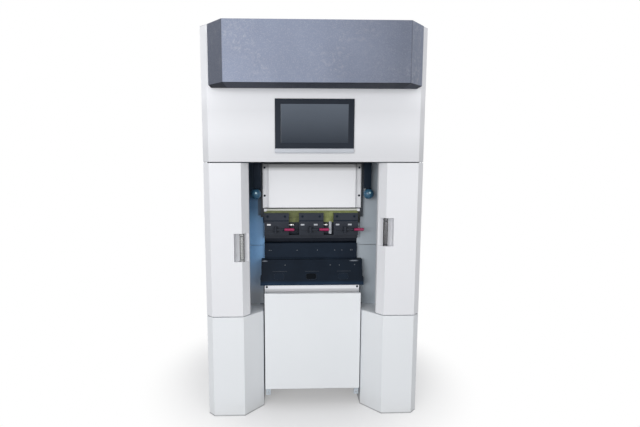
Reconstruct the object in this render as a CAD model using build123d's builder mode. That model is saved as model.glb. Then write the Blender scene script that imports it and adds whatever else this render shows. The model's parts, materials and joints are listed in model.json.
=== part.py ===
# Electric servo press brake in a sheet-metal housing: two pedestals, two front doors beside the
# tools, a ram that slides in a pair of frame plates, and an upper housing with a screen and a fascia.
# The front faces -Y, +Z is up, and the origin is the bottom centre of the whole machine.
# All sizes are in millimetres.
import os
from math import cos, radians, tan

from build123d import *

# Sheet and clearances
sheet = 3.0
fit = 0.2
seam = 2.0  # between two sheets that only meet
door_gap = 5.0
running_gap = 5.0

# Body
base_height = 560.0  # the pedestals, with the doors on top of them
door_height = 824.0
housing_height = 672.0
body_depth = 1184.0
door_width = 232.0
corner_chamfer = 34.0  # outer vertical corners at the front
fascia_reach = 166.0  # how far the fascia stands out in front of the body

# Pedestals
toe_chamfer_width = 100.0
toe_chamfer_depth = 105.0
foot_lip = 30.0
foot_lip_height = 4.0

# Frame plates
frame_thickness = 35.0
frame_rear_space = 186.0
frame_head_space = 96.0
throat_head = 10.0
throat_depth = 260.0
throat_radius = 60.0
crown_height = 200.0
crown_depth = 120.0
crown_gap = 26.0  # from the ram to the crown beam

# Bed
bed_rise = 131.0  # from the pedestals' top to the bed's top
bed_thickness = 62.0
bed_pad = 62.0  # how far the bed's front pad stands out of the frame plates
bed_face_height = 121.0
bed_face_margin = 6.0
cover_ground_gap = 105.0
cover_margin = 8.0
cover_setback = 90.0
cover_return = 22.0
cover_drop = 30.0  # from the bed's top to the cover's top
bed_raise = 1.0  # the bed beam's underside over the cover's
bracket_inset = 4.0
bracket_width = 26.0
bracket_drop = 37.0  # how far the brackets show below the cover

# Tools, all on one bending line
bend_setback = 230.0
tool_offset = 5.0  # how far the row of tools sits to the left of the middle
die_width = 60.0
die_height = 92.0
groove_width = 24.0
groove_angle = 88.0
tang_width = 14.0
tang_depth = 8.0
holder_margin = 10.0
holder_height = 142.0
holder_front_reach = 48.0
holder_foot_reach = 78.0
holder_back_reach = 55.0
holder_foot = 22.0  # height of the upright part under the holder's sloping face
heel_height = 44.0  # the wider part along the holder's foot
heel_margin = 6.0
pad_width = 58.0
pad_height = 34.0
pad_depth = 3.0
pad_pitch = 182.0
pad_rise = 50.0
tip_gap = 5.0  # from the die's top face to the punch's tip in the photographed position
punch_rise = 45.0  # from the tip to the clamps
punch_back = 11.0
punch_face = 11.0
punch_shoulder = 40.0
shoulder_height = 20.0
shoulder_slope = 4.0
tip_half_width = 1.5
tip_angle = 50.0
punch_tang = 24.0
punch_tang_width = 13.0

# Clamps and levers
clamp_width = 138.0
clamp_pitch = 195.0
clamp_margin = 8.0  # from the clamps at the left to the frame plate
clamp_body_height = 71.0
clamp_plate_height = 54.0
clamp_front_reach = 64.0
clamp_back_reach = 22.0
clamp_plate_thickness = 22.0
clamp_bevel = 4.0
slot_height = 5.0
slot_drop = 8.0  # from the middle of the lever down to the middle of the slot
slot_depth = 3.0
lever_rise = 35.0  # from the clamp's bottom to the middle of its lever
lever_offset = -6.0
lever_stand = 14.0  # from the clamp's face to the lever's pin
pin_radius = 3.0
pin_clearance = 0.05
boss_radius = 9.0
boss_height = 14.0
ear_height = 8.0
ear_gap = 1.0
ear_half_width = 10.0
arm_size = 8.0
arm_length = 44.0
grip_length = 62.0
grip_thin = 5.0
grip_thick = 8.5

# Ram
ram_travel = 150.0
ram_neck = 30.0  # from the clamps' shoulder to the ram's underside
ram_plate_reach = 30.0  # from the bending line to the ram's front
ram_plate_margin = 12.0
ram_beam_margin = 18.0
ram_plate_thickness = 14.0
ram_beam_thickness = 60.0
ram_frame_gap = 6.0  # from the ram's plate to the panels beside the tools
ram_head_space = 320.0  # from the ram's top to the frame plates' top
nose_margin = 8.0
nose_lip = 9.0
nose_front_reach = 34.0
nose_back_reach = 32.0
light_margin = 6.0
light_height = 17.0
light_thickness = 12.0
ram_cover_gap = 8.0
ram_flange = 2.5
ram_panel_margin = 33.0
ram_panel_depth = 22.0
carriage_height = 100.0
carriage_width = 36.0
carriage_rise = 10.0
rail_width = 30.0
rail_head_space = 160.0
slide_gap = 0.3

# Panels beside the tools
shroud_step_rise = 30.0
shroud_seam_drop = 15.0
shroud_gap = 6.0
side_panel_setback = 56.0
side_panel_flange = 22.0

# Sensor heads
arm_gap = 8.0
arm_width = 40.0
arm_setback = 152.0
arm_depth = 26.0
arm_length_down = 144.0
head_radius = 30.0
head_drop = 31.0
head_shift = 9.0  # outwards from the middle of the arm
head_boss_radius = 13.0

# Doors
door_depth = 40.0
door_toe_width = 35.0
door_lip = 24.0
door_flange = 30.0
door_reveal = 66.0  # from the frame plates' inner face to the doors' inner edge
hinge_inset = 19.0
hinge_setback = 27.0
hinge_radius = 4.0
hinge_clearance = 0.05
hinge_reach = 25.0
hinge_block = 30.0
hinge_block_width = 32.0
washer_radius = 10.0
washer_height = 3.0
pocket_height = 150.0
pocket_width = 77.0
handle_width = 26.0
handle_thickness = 16.0
handle_setback = 5.0
handle_inset = 36.0
left_pocket_rise = 296.0
right_pocket_rise = 376.0

# Upper housing
notch_gap = 8.0
notch_front_gap = 7.5
screen_width = 404.0
screen_rise = 68.0
screen_height = 249.0
screen_thickness = 6.0
screen_box_depth = 50.0
screen_cutout_margin = 20.0
cutout_clearance = 0.5
glass_width = 344.0
glass_height = 196.0
glass_thickness = 3.0
trim_height = 23.0
trim_thickness = 9.0

# Fascia
fascia_screen_gap = 50.0
fascia_setdown = 23.0
fascia_margin = 55.0
fascia_corner_width = 79.0
fascia_corner_depth = 86.0

# Widths that follow, as distances from the middle of the machine
tool_half = clamp_pitch + clamp_width / 2
tool_left = -tool_offset - tool_half
tool_right = -tool_offset + tool_half
frame_inner = -tool_left + clamp_margin
frame_outer = frame_inner + frame_thickness
pedestal_inner = frame_inner - seam
door_inner = frame_inner + door_reveal
half = door_inner + door_width
side_inner = half - sheet
inner_corner = corner_chamfer - sheet * tan(radians(22.5))  # the chamfer seen from inside the sheet
holder_half = frame_inner + holder_margin
cover_half = pedestal_inner - cover_margin
bed_face_half = pedestal_inner - bed_face_margin
bracket_outer = cover_half - bracket_inset
ram_half = frame_inner + ram_plate_margin
ram_beam_half = frame_inner - ram_beam_margin
nose_half = frame_inner - nose_margin
light_half = frame_inner - light_margin
ram_cover_half = frame_inner
ram_panel_half = ram_cover_half - ram_panel_margin
rail_inner = ram_beam_half + (frame_inner - ram_beam_half) / 4
shroud_top_inner = frame_inner + fit
shroud_mid_inner = -tool_left + shroud_gap
shroud_low_inner = holder_half + heel_margin + shroud_gap
arm_inner = ram_cover_half + arm_gap
floor_notch_half = ram_half + notch_gap
hinge_x = half - hinge_inset
hinge_block_inner = half - hinge_block_width
pocket_outer = door_inner + pocket_width
handle_x = door_inner + handle_inset
fascia_half = half - fascia_margin

# Depths that follow, from the front of the body backwards
front = fascia_reach - (body_depth + fascia_reach) / 2
back = front + body_depth
bend_line = front + bend_setback
ram_plate_front = bend_line - ram_plate_reach
ram_plate_back = ram_plate_front + ram_plate_thickness
ram_beam_back = ram_plate_back + ram_beam_thickness
rail_middle = (ram_plate_back + ram_beam_back) / 2
shroud_front = ram_plate_back + ram_frame_gap
frame_front = shroud_front + sheet
frame_back = back - frame_rear_space
crown_front = ram_beam_back + crown_gap
bed_front = frame_front - bed_pad
cover_front = front + cover_setback
holder_front_top = bend_line - holder_front_reach
holder_front_bottom = bend_line - holder_foot_reach
holder_back = bend_line + holder_back_reach
clamp_front = bend_line - clamp_front_reach
clamp_back = bend_line + clamp_back_reach
clamp_plate_front = clamp_front + clamp_bevel
clamp_plate_back = clamp_plate_front + clamp_plate_thickness
lever_y = clamp_front - lever_stand
nose_step_front = bend_line - nose_front_reach
nose_back = bend_line + nose_back_reach
ram_panel_front = ram_plate_front - ram_flange - ram_panel_depth
floor_notch_front = ram_panel_front - notch_front_gap
arm_front = front + arm_setback
door_back = front + door_depth
hinge_y = front + hinge_setback

# Heights that follow, from the floor upwards
housing_bottom = base_height + door_height
body_height = housing_bottom + housing_height
frame_height = body_height - frame_head_space
bed_height = base_height + bed_rise
cover_bottom = cover_ground_gap
cover_top = bed_height - cover_drop
bed_bottom = cover_bottom + bed_raise
bed_face_bottom = bed_height - bed_face_height
bracket_bottom = cover_bottom - bracket_drop
die_bottom = bed_height + holder_height
die_top = die_bottom + die_height
tip_bottom = die_top + tip_gap
clamp_bottom = tip_bottom + punch_rise
clamp_top = clamp_bottom + clamp_body_height
plate_top = clamp_top + clamp_plate_height
lever_z = clamp_bottom + lever_rise
ram_bottom = clamp_top + ram_neck
nose_top = plate_top + nose_lip
ram_cover_bottom = nose_top + light_height + seam
ram_cover_top = housing_bottom - ram_cover_gap
ram_top = frame_height - ram_head_space
throat_top = plate_top + throat_head
rail_bottom = ram_bottom + ram_travel + running_gap  # clear of the nose and the clamps when the ram is up
rail_top = frame_height - rail_head_space
shroud_step = die_top + shroud_step_rise
shroud_seam = die_top - shroud_seam_drop
arm_bottom = housing_bottom - arm_length_down
door_bottom = base_height + door_gap
door_top = housing_bottom - door_gap
left_pocket_bottom = door_bottom + left_pocket_rise
right_pocket_bottom = door_bottom + right_pocket_rise
screen_bottom = housing_bottom + screen_rise
screen_top = screen_bottom + screen_height
fascia_bottom = screen_top + fascia_screen_gap
fascia_top = body_height - fascia_setdown


def twin(piece):
    """The same piece on the other side of the machine."""
    with BuildPart() as other:
        mirror(piece.part, about=Plane.YZ)
    return other


def both_sides(piece):
    """The piece and its mirror image, as two solids of one node."""
    with BuildPart() as pair:
        add(piece.part)
        mirror(piece.part, about=Plane.YZ)
    return pair


def block(x0, x1, y0, y1, z0, z1, mode=Mode.ADD):
    """A box between two corners, for use inside a part block."""
    middle = ((x0 + x1) / 2, (y0 + y1) / 2, (z0 + z1) / 2)
    with Locations(middle):
        Box(x1 - x0, y1 - y0, z1 - z0, mode=mode)


def plan_outline(points, height, bottom, mode=Mode.ADD):
    """A prism that stands on a closed plan outline, for use inside a part block."""
    with BuildSketch(Plane.XY.offset(bottom)) as outline:
        with BuildLine():
            Polyline(*points, close=True)
        make_face()
    extrude(outline.sketch, amount=height, mode=mode)


def side_profile(points, x0, x1, mode=Mode.ADD):
    """A prism along X with a closed outline given as (y, z) points, for use inside a part block."""
    with BuildSketch(Plane.YZ.offset(x0)) as outline:
        with BuildLine():
            Polyline(*points, close=True)
        make_face()
    extrude(outline.sketch, amount=x1 - x0, mode=mode)


# Pedestals: open-bottomed sheet boxes with a lip on the floor, cut away where a frame plate stands
pedestal_plan = [
    (pedestal_inner, front + toe_chamfer_depth),
    (pedestal_inner + toe_chamfer_width, front),
    (half - corner_chamfer, front),
    (half, front + corner_chamfer),
    (half, back),
    (pedestal_inner, back),
]

with BuildPart() as pedestal_right:
    plan_outline(pedestal_plan, base_height, 0)
    with BuildSketch(Plane.XY.offset(foot_lip_height)):
        with BuildLine():
            Polyline(*pedestal_plan, close=True)
        make_face()
        offset(amount=-sheet, kind=Kind.INTERSECTION, mode=Mode.REPLACE)
    extrude(amount=base_height - sheet - foot_lip_height, mode=Mode.SUBTRACT)
    with BuildSketch(Plane.XY):
        with BuildLine():
            Polyline(*pedestal_plan, close=True)
        make_face()
        offset(amount=-foot_lip, kind=Kind.INTERSECTION, mode=Mode.REPLACE)
    extrude(amount=foot_lip_height, mode=Mode.SUBTRACT)
    block(pedestal_inner + sheet, half - sheet, frame_front + sheet, back - sheet,
          base_height - sheet, base_height, mode=Mode.SUBTRACT)
    block(pedestal_inner, frame_outer, frame_front, frame_back, 0, base_height, mode=Mode.SUBTRACT)
pedestal_left = twin(pedestal_right)

# Frame plates: two upright C plates that carry the bed and guide the ram
with BuildPart() as frame_plate:
    block(frame_inner, frame_outer, frame_front, frame_back, 0, frame_height)
    with BuildSketch(Plane.YZ.offset(frame_inner)):
        with Locations((frame_front, (bed_height + throat_top) / 2)):
            Rectangle(2 * throat_depth, throat_top - bed_height)
        fillet(vertices().group_by(Axis.X)[-1], throat_radius)
    extrude(amount=frame_thickness, mode=Mode.SUBTRACT)
frame_plates = both_sides(frame_plate)

with BuildPart() as crown_beam:
    block(-frame_inner, frame_inner, crown_front, crown_front + crown_depth,
          frame_height - crown_height, frame_height)

# Bed: a thick plate between the frame plates, with a pad that reaches forward between the pedestals
with BuildPart() as bed_beam:
    block(-frame_inner, frame_inner, frame_front, frame_front + bed_thickness, bed_bottom, bed_height)
    block(-pedestal_inner, pedestal_inner, bed_front, frame_front, bed_bottom, bed_height)

with BuildPart() as bed_face:
    block(-bed_face_half, bed_face_half, bed_front - sheet, bed_front, bed_face_bottom, bed_height)

with BuildPart() as bed_cover:
    block(-cover_half, cover_half, cover_front, cover_front + cover_return, cover_bottom, cover_top)
    block(-cover_half + sheet, cover_half - sheet, cover_front + sheet, cover_front + cover_return,
          cover_bottom + sheet, cover_top - sheet, mode=Mode.SUBTRACT)
    block(-bracket_outer - fit, bracket_outer + fit, cover_front + sheet, cover_front + cover_return,
          cover_bottom, cover_bottom + sheet, mode=Mode.SUBTRACT)

with BuildPart() as cover_bracket:
    block(bracket_outer - bracket_width, bracket_outer, cover_front + sheet, cover_front + 2 * sheet,
          bracket_bottom, cover_top - 2 * sheet)
    block(bracket_outer - sheet, bracket_outer, cover_front + 2 * sheet, bed_front - sheet,
          bracket_bottom, cover_top - 2 * sheet)
    block(bracket_outer - sheet, bracket_outer, bed_front - sheet, bed_front,
          bracket_bottom, bed_face_bottom)
cover_brackets = both_sides(cover_bracket)

# Die holder: a long block with a sloping face, three clamping pads and a key groove for the die
holder_profile = [
    (holder_front_bottom, bed_height),
    (holder_front_bottom, bed_height + holder_foot),
    (holder_front_top, die_bottom),
    (holder_back, die_bottom),
    (holder_back, bed_height),
]
pad_slope = (holder_front_top - holder_front_bottom) / (holder_height - holder_foot)
pad_middle_y = holder_front_bottom + (pad_rise - holder_foot) * pad_slope
pad_plane = Plane(
    origin=(0, pad_middle_y, bed_height + pad_rise),
    x_dir=(1, 0, 0),
    z_dir=(0, -1, pad_slope),
)
heel_half = holder_half + heel_margin
with BuildPart() as holder_heel:
    side_profile(holder_profile, -heel_half, heel_half)
    split(bisect_by=Plane.XY.offset(bed_height + heel_height), keep=Keep.BOTTOM)

with BuildPart() as die_holder:
    side_profile(holder_profile, -holder_half, holder_half)
    add(holder_heel.part)
    block(-holder_half, holder_half, bend_line - tang_width / 2 - fit, bend_line + tang_width / 2 + fit,
          die_bottom - tang_depth - fit, die_bottom, mode=Mode.SUBTRACT)
    with BuildSketch(pad_plane):
        with Locations([(-tool_offset + step * pad_pitch, 0) for step in (-1, 0, 1)]):
            RectangleRounded(pad_width, pad_height, pad_height / 3)
    extrude(amount=-pad_depth, mode=Mode.SUBTRACT)

# Die: one block with a V groove along the bending line and a key below
groove_depth = groove_width / 2 / tan(radians(groove_angle / 2))
with BuildPart() as die:
    block(tool_left, tool_right, bend_line - die_width / 2, bend_line + die_width / 2, die_bottom, die_top)
    block(tool_left, tool_right, bend_line - tang_width / 2, bend_line + tang_width / 2,
          die_bottom - tang_depth, die_bottom)
    groove_profile = [
        (bend_line - groove_width / 2, die_top),
        (bend_line, die_top - groove_depth),
        (bend_line + groove_width / 2, die_top),
    ]
    side_profile(groove_profile, tool_left, tool_right, mode=Mode.SUBTRACT)

# Punch: a bar with a key held in the clamps, a shoulder under them and a narrow tip
tip_slope = 1 / tan(radians(tip_angle / 2))
punch_profile = [
    (bend_line - tip_half_width, tip_bottom),
    (bend_line + tip_half_width, tip_bottom),
    (bend_line + punch_back, tip_bottom + (punch_back - tip_half_width) * tip_slope),
    (bend_line + punch_back, clamp_bottom),
    (bend_line + punch_tang_width / 2, clamp_bottom),
    (bend_line + punch_tang_width / 2, clamp_bottom + punch_tang),
    (bend_line - punch_tang_width / 2, clamp_bottom + punch_tang),
    (bend_line - punch_tang_width / 2, clamp_bottom),
    (bend_line - punch_shoulder, clamp_bottom),
    (bend_line - punch_shoulder, clamp_bottom - shoulder_height),
    (bend_line - punch_face, clamp_bottom - shoulder_height - shoulder_slope),
    (bend_line - punch_face, tip_bottom + (punch_face - tip_half_width) * tip_slope),
]
with BuildPart() as punch:
    side_profile(punch_profile, tool_left, tool_right)

# Clamps: a jaw under the ram's nose, a plate screwed to its face, and ears with a pin for the lever
clamp_profile = [
    (clamp_front, clamp_bottom),
    (clamp_front, clamp_top - clamp_bevel),
    (clamp_front + clamp_bevel, clamp_top),
    (clamp_plate_front, plate_top),
    (clamp_plate_back, plate_top),
    (clamp_plate_back, clamp_top),
    (clamp_back, clamp_top),
    (clamp_back, clamp_bottom),
]
ear_bottom = lever_z - boss_height / 2 - ear_gap - ear_height
ear_top = lever_z + boss_height / 2 + ear_gap
slot_z = lever_z - slot_drop


def clamp_at(x):
    """One clamp with its middle at x."""
    pivot = x + lever_offset
    with BuildPart() as clamp:
        side_profile(clamp_profile, x - clamp_width / 2, x + clamp_width / 2)
        block(x - clamp_width / 2, x + clamp_width / 2,
              bend_line - punch_tang_width / 2 - fit, bend_line + punch_tang_width / 2 + fit,
              clamp_bottom, clamp_bottom + punch_tang + fit, mode=Mode.SUBTRACT)
        block(x - clamp_width / 2, x + clamp_width / 2, clamp_front, clamp_front + slot_depth,
              slot_z - slot_height / 2, slot_z + slot_height / 2, mode=Mode.SUBTRACT)
        for bottom in (ear_bottom, ear_top):
            block(pivot - ear_half_width, pivot + ear_half_width, lever_y, clamp_front,
                  bottom, bottom + ear_height)
            with Locations((pivot, lever_y, bottom)):
                Cylinder(ear_half_width, ear_height, align=(Align.CENTER, Align.CENTER, Align.MIN))
        with Locations((pivot, lever_y, ear_bottom)):
            Cylinder(pin_radius, ear_top + ear_height - ear_bottom,
                     align=(Align.CENTER, Align.CENTER, Align.MIN))
    return clamp


def lever_arm_at(x):
    """The steel arm that turns about the clamp's pin, pointing along +X at rest."""
    pivot = x + lever_offset
    with BuildPart() as arm:
        with Locations((pivot, lever_y, lever_z)):
            Cylinder(boss_radius, boss_height)
        block(pivot, pivot + arm_length, lever_y - arm_size / 2, lever_y + arm_size / 2,
              lever_z - arm_size / 2, lever_z + arm_size / 2)
        with Locations((pivot, lever_y, lever_z)):
            Cylinder(pin_radius + pin_clearance, boss_height, mode=Mode.SUBTRACT)
    return arm


def lever_grip_at(x):
    """The tapered grip at the end of the arm."""
    start = x + lever_offset + arm_length
    with BuildPart() as grip:
        with Locations(Location((start + grip_length / 2, lever_y, lever_z), (0, 90, 0))):
            Cone(grip_thin, grip_thick, grip_length)
        fillet(edges().filter_by(GeomType.CIRCLE).sort_by(Axis.X)[-1], grip_thin / 2)
    return grip


# Ram: a wide front plate, the beam behind it with its guide carriages, and a nose for the clamps
carriage_bottoms = (rail_bottom + carriage_rise, ram_top - carriage_height)
with BuildPart() as ram_beam:
    block(-ram_half, ram_half, ram_plate_front, ram_plate_back, ram_bottom, ram_top)
    block(-ram_beam_half, ram_beam_half, ram_plate_back, ram_beam_back, ram_bottom, ram_top)
    for bottom in carriage_bottoms:
        block(-rail_inner + slide_gap, rail_inner - slide_gap,
              rail_middle - carriage_width / 2, rail_middle + carriage_width / 2,
              bottom, bottom + carriage_height)

with BuildPart() as guide_rail:
    block(rail_inner, frame_inner, rail_middle - rail_width / 2, rail_middle + rail_width / 2,
          rail_bottom, rail_top)
guide_rails = both_sides(guide_rail)

nose_profile = [
    (clamp_plate_back, ram_bottom),
    (clamp_plate_back, nose_top),
    (ram_plate_front, nose_top),
    (ram_plate_front, ram_bottom),
    (nose_back, ram_bottom),
    (nose_back, clamp_top),
    (nose_step_front, clamp_top),
    (nose_step_front, ram_bottom),
]
with BuildPart() as ram_nose:
    side_profile(nose_profile, -nose_half, nose_half)

with BuildPart() as light_bar:
    with BuildSketch(Plane.XZ.offset(-ram_plate_front)):
        with Locations((0, nose_top + light_height / 2)):
            RectangleRounded(2 * light_half, light_height, light_height / 3)
    extrude(amount=light_thickness)

with BuildPart() as ram_cover:
    block(-ram_cover_half, ram_cover_half, ram_plate_front - ram_flange, ram_plate_front,
          ram_cover_bottom, ram_cover_top)
    with BuildSketch(Plane.XZ.offset(-(ram_plate_front - ram_flange))):
        with Locations((0, (ram_cover_bottom + ram_cover_top) / 2)):
            Rectangle(2 * ram_panel_half, ram_cover_top - ram_cover_bottom - 2 * sheet)
    extrude(amount=ram_panel_depth)
    with BuildSketch(Plane.XZ.offset(-ram_plate_front)):
        with Locations((0, (ram_cover_bottom + ram_cover_top) / 2)):
            Rectangle(2 * (ram_panel_half - sheet), ram_cover_top - ram_cover_bottom - 4 * sheet)
    extrude(amount=ram_flange + ram_panel_depth - sheet, mode=Mode.SUBTRACT)

# Panels beside the tools, on the front edges of the frame plates, in two sheets with a seam
with BuildPart() as shroud_right:
    block(shroud_top_inner, side_inner, shroud_front, frame_front, shroud_step, housing_bottom)
    block(shroud_mid_inner, side_inner, shroud_front, frame_front,
          shroud_seam + seam, shroud_step)
    block(shroud_mid_inner, side_inner, shroud_front, frame_front, die_bottom + door_gap, shroud_seam)
    block(shroud_low_inner, side_inner, shroud_front, frame_front, base_height, die_bottom + door_gap)
shroud_left = twin(shroud_right)

with BuildPart() as side_panel:
    block(side_inner, half, front + side_panel_setback, back, base_height, housing_bottom)
    block(half - side_panel_flange, side_inner, front + side_panel_setback,
          front + side_panel_setback + sheet, base_height, housing_bottom)
side_panels = both_sides(side_panel)

with BuildPart() as back_panels:
    block(-pedestal_inner, pedestal_inner, back - sheet, back, cover_bottom, base_height - seam)
    block(-side_inner, side_inner, back - sheet, back, base_height, housing_bottom)

# Sensor heads: a blue dome at the end of a dark arm on each side of the ram
head_x = arm_inner + arm_width / 2 + head_shift
head_y = arm_front + arm_depth / 2
with BuildPart() as sensor_arm:
    block(arm_inner, arm_inner + arm_width, arm_front, arm_front + arm_depth, arm_bottom, housing_bottom)
sensor_arms = both_sides(sensor_arm)

with BuildPart() as sensor_head:
    with Locations((head_x, head_y, arm_bottom - head_drop)):
        Sphere(head_radius)
    with Locations((head_x, head_y, arm_bottom)):
        Cylinder(head_boss_radius, head_drop, align=(Align.CENTER, Align.CENTER, Align.MAX))
sensor_heads = both_sides(sensor_head)

# Doors: folded pans that turn about two pins at their outer edge
door_plan = [
    (door_inner, door_back),
    (door_inner + door_toe_width, front),
    (half - corner_chamfer, front),
    (half, front + corner_chamfer),
    (half, door_back),
]


def door_at_right(pocket_bottom):
    """A door on the right with its handle pocket starting at a given height."""
    pocket_top = pocket_bottom + pocket_height
    can_height = pocket_height + 2 * sheet
    with BuildPart() as door:
        plan_outline(door_plan, door_top - door_bottom, door_bottom)
        with BuildSketch(Plane.XY.offset(door_bottom + sheet)):
            with BuildLine():
                Polyline(*door_plan, close=True)
            make_face()
            offset(amount=-sheet, kind=Kind.INTERSECTION, mode=Mode.REPLACE)
        extrude(amount=door_top - door_bottom - 2 * sheet, mode=Mode.SUBTRACT)
        block(door_inner + door_lip, half - door_lip, door_back - sheet, door_back,
              door_bottom + door_lip, door_top - door_lip, mode=Mode.SUBTRACT)
        block(door_inner, door_inner + sheet, door_back, door_back + door_flange, door_bottom, door_top)
        with BuildSketch(Plane.XY.offset(pocket_bottom - sheet)):
            with BuildLine():
                Polyline(*door_plan, close=True)
            make_face()
            with Locations((0, door_back)):
                Rectangle(2 * (pocket_outer + sheet), 4 * door_depth, mode=Mode.INTERSECT)
        extrude(amount=can_height)
        block(door_inner, pocket_outer, front, door_back - sheet,
              pocket_bottom, pocket_top, mode=Mode.SUBTRACT)
        for bottom in (door_bottom, door_top - hinge_block):
            with BuildSketch(Plane.XY.offset(bottom)):
                with BuildLine():
                    Polyline(*door_plan, close=True)
                make_face()
                with Locations(((hinge_block_inner + half) / 2, front)):
                    Rectangle(half - hinge_block_inner, 4 * door_depth, mode=Mode.INTERSECT)
            extrude(amount=hinge_block)
        for middle in (door_bottom, door_top):
            with Locations((hinge_x, hinge_y, middle)):
                Cylinder(hinge_radius + hinge_clearance, 2 * (hinge_reach + fit), mode=Mode.SUBTRACT)
    return door


def handle_at_right(pocket_bottom):
    """The upright pull bar that stands in a door's pocket."""
    with BuildPart() as bar:
        with BuildSketch(Plane.XY.offset(pocket_bottom)):
            with Locations((handle_x, front + handle_setback + handle_thickness / 2)):
                SlotOverall(handle_width, handle_thickness)
        extrude(amount=pocket_height)
    return bar


door_right = door_at_right(right_pocket_bottom)
door_left = twin(door_at_right(left_pocket_bottom))
handle_right = handle_at_right(right_pocket_bottom)
handle_left = twin(handle_at_right(left_pocket_bottom))

with BuildPart() as hinge_pin_set:
    with Locations((hinge_x, hinge_y, base_height)):
        Cylinder(washer_radius, washer_height, align=(Align.CENTER, Align.CENTER, Align.MIN))
        Cylinder(hinge_radius, door_gap + hinge_reach, align=(Align.CENTER, Align.CENTER, Align.MIN))
    with Locations((hinge_x, hinge_y, housing_bottom)):
        Cylinder(washer_radius, washer_height, align=(Align.CENTER, Align.CENTER, Align.MAX))
        Cylinder(hinge_radius, door_gap + hinge_reach, align=(Align.CENTER, Align.CENTER, Align.MAX))
hinge_pins = both_sides(hinge_pin_set)

# Upper housing: front sheet with its corners, sides, back, roof and a floor with a notch for the ram
wall_height = body_height - sheet - housing_bottom
front_sheet_outline = [
    (-half, front + corner_chamfer),
    (-half + corner_chamfer, front),
    (half - corner_chamfer, front),
    (half, front + corner_chamfer),
    (half - sheet / cos(radians(45)), front + corner_chamfer),
    (half - inner_corner - sheet, front + sheet),
    (-half + inner_corner + sheet, front + sheet),
    (-half + sheet / cos(radians(45)), front + corner_chamfer),
]
screen_middle = (screen_bottom + screen_top) / 2
box_half = screen_width / 2 - screen_cutout_margin
box_bottom = screen_bottom + screen_cutout_margin
box_top = screen_top - screen_cutout_margin
with BuildPart() as housing_front:
    plan_outline(front_sheet_outline, wall_height, housing_bottom)
    block(-box_half - cutout_clearance, box_half + cutout_clearance, front, front + sheet,
          box_bottom - cutout_clearance, box_top + cutout_clearance, mode=Mode.SUBTRACT)

with BuildPart() as housing_side:
    block(side_inner, half, front + corner_chamfer, back, housing_bottom, body_height - sheet)
housing_sides = both_sides(housing_side)

with BuildPart() as housing_back:
    block(-side_inner, side_inner, back - sheet, back, housing_bottom, body_height - sheet)

roof_plan = [
    (-half, front + corner_chamfer),
    (-half + corner_chamfer, front),
    (half - corner_chamfer, front),
    (half, front + corner_chamfer),
    (half, back),
    (-half, back),
]
with BuildPart() as housing_roof:
    plan_outline(roof_plan, sheet, body_height - sheet)

floor_corner = half - sheet / cos(radians(45)) - fit
floor_plan = [
    (-floor_corner, front + corner_chamfer),
    (-half + inner_corner + sheet + fit, front + sheet),
    (half - inner_corner - sheet - fit, front + sheet),
    (floor_corner, front + corner_chamfer),
    (floor_corner, frame_front),
    (-floor_corner, frame_front),
]
with BuildPart() as housing_floor:
    plan_outline(floor_plan, sheet, housing_bottom)
    block(-floor_notch_half, floor_notch_half, floor_notch_front, frame_front,
          housing_bottom, housing_bottom + sheet, mode=Mode.SUBTRACT)

# Screen: a black bezel with its box behind the sheet, the glass let into it, and a trim strip below
with BuildPart() as screen_bezel:
    block(-screen_width / 2, screen_width / 2, front - screen_thickness, front, screen_bottom, screen_top)
    block(-box_half, box_half, front, front + screen_box_depth, box_bottom, box_top)
    block(-glass_width / 2, glass_width / 2, front - screen_thickness,
          front - screen_thickness + glass_thickness,
          screen_middle - glass_height / 2, screen_middle + glass_height / 2, mode=Mode.SUBTRACT)

with BuildPart() as screen_glass:
    block(-glass_width / 2, glass_width / 2, front - screen_thickness,
          front - screen_thickness + glass_thickness,
          screen_middle - glass_height / 2, screen_middle + glass_height / 2)

with BuildPart() as screen_trim:
    block(-screen_width / 2, screen_width / 2, front - trim_thickness, front,
          screen_bottom - trim_height, screen_bottom)
    fillet(edges().filter_by(Axis.X).group_by(Axis.Y)[0], trim_thickness / 4)

# Fascia: a hollow box across the top of the front, with splayed ends
fascia_plan = [
    (-fascia_half, front),
    (-fascia_half, front - fascia_reach + fascia_corner_depth),
    (-fascia_half + fascia_corner_width, front - fascia_reach),
    (fascia_half - fascia_corner_width, front - fascia_reach),
    (fascia_half, front - fascia_reach + fascia_corner_depth),
    (fascia_half, front),
]
with BuildPart() as fascia:
    plan_outline(fascia_plan, fascia_top - fascia_bottom, fascia_bottom)
    with BuildSketch(Plane.XY.offset(fascia_bottom + sheet)):
        with BuildLine():
            Polyline(*fascia_plan, close=True)
        make_face()
        offset(amount=-sheet, kind=Kind.INTERSECTION, mode=Mode.REPLACE)
    extrude(amount=fascia_top - fascia_bottom - 2 * sheet, mode=Mode.SUBTRACT)

# Everything that is written, by node name
nodes = {
    "pedestal_left": pedestal_left,
    "pedestal_right": pedestal_right,
    "frame_plates": frame_plates,
    "crown_beam": crown_beam,
    "bed_beam": bed_beam,
    "bed_face": bed_face,
    "bed_cover": bed_cover,
    "cover_brackets": cover_brackets,
    "die_holder": die_holder,
    "die": die,
    "punch": punch,
    "ram_beam": ram_beam,
    "guide_rails": guide_rails,
    "ram_nose": ram_nose,
    "light_bar": light_bar,
    "ram_cover": ram_cover,
    "shroud_left": shroud_left,
    "shroud_right": shroud_right,
    "side_panels": side_panels,
    "back_panels": back_panels,
    "sensor_arms": sensor_arms,
    "sensor_heads": sensor_heads,
    "door_left": door_left,
    "door_right": door_right,
    "handle_left": handle_left,
    "handle_right": handle_right,
    "hinge_pins": hinge_pins,
    "housing_front": housing_front,
    "housing_sides": housing_sides,
    "housing_back": housing_back,
    "housing_roof": housing_roof,
    "housing_floor": housing_floor,
    "screen_bezel": screen_bezel,
    "screen_glass": screen_glass,
    "screen_trim": screen_trim,
    "fascia": fascia,
}
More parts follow.
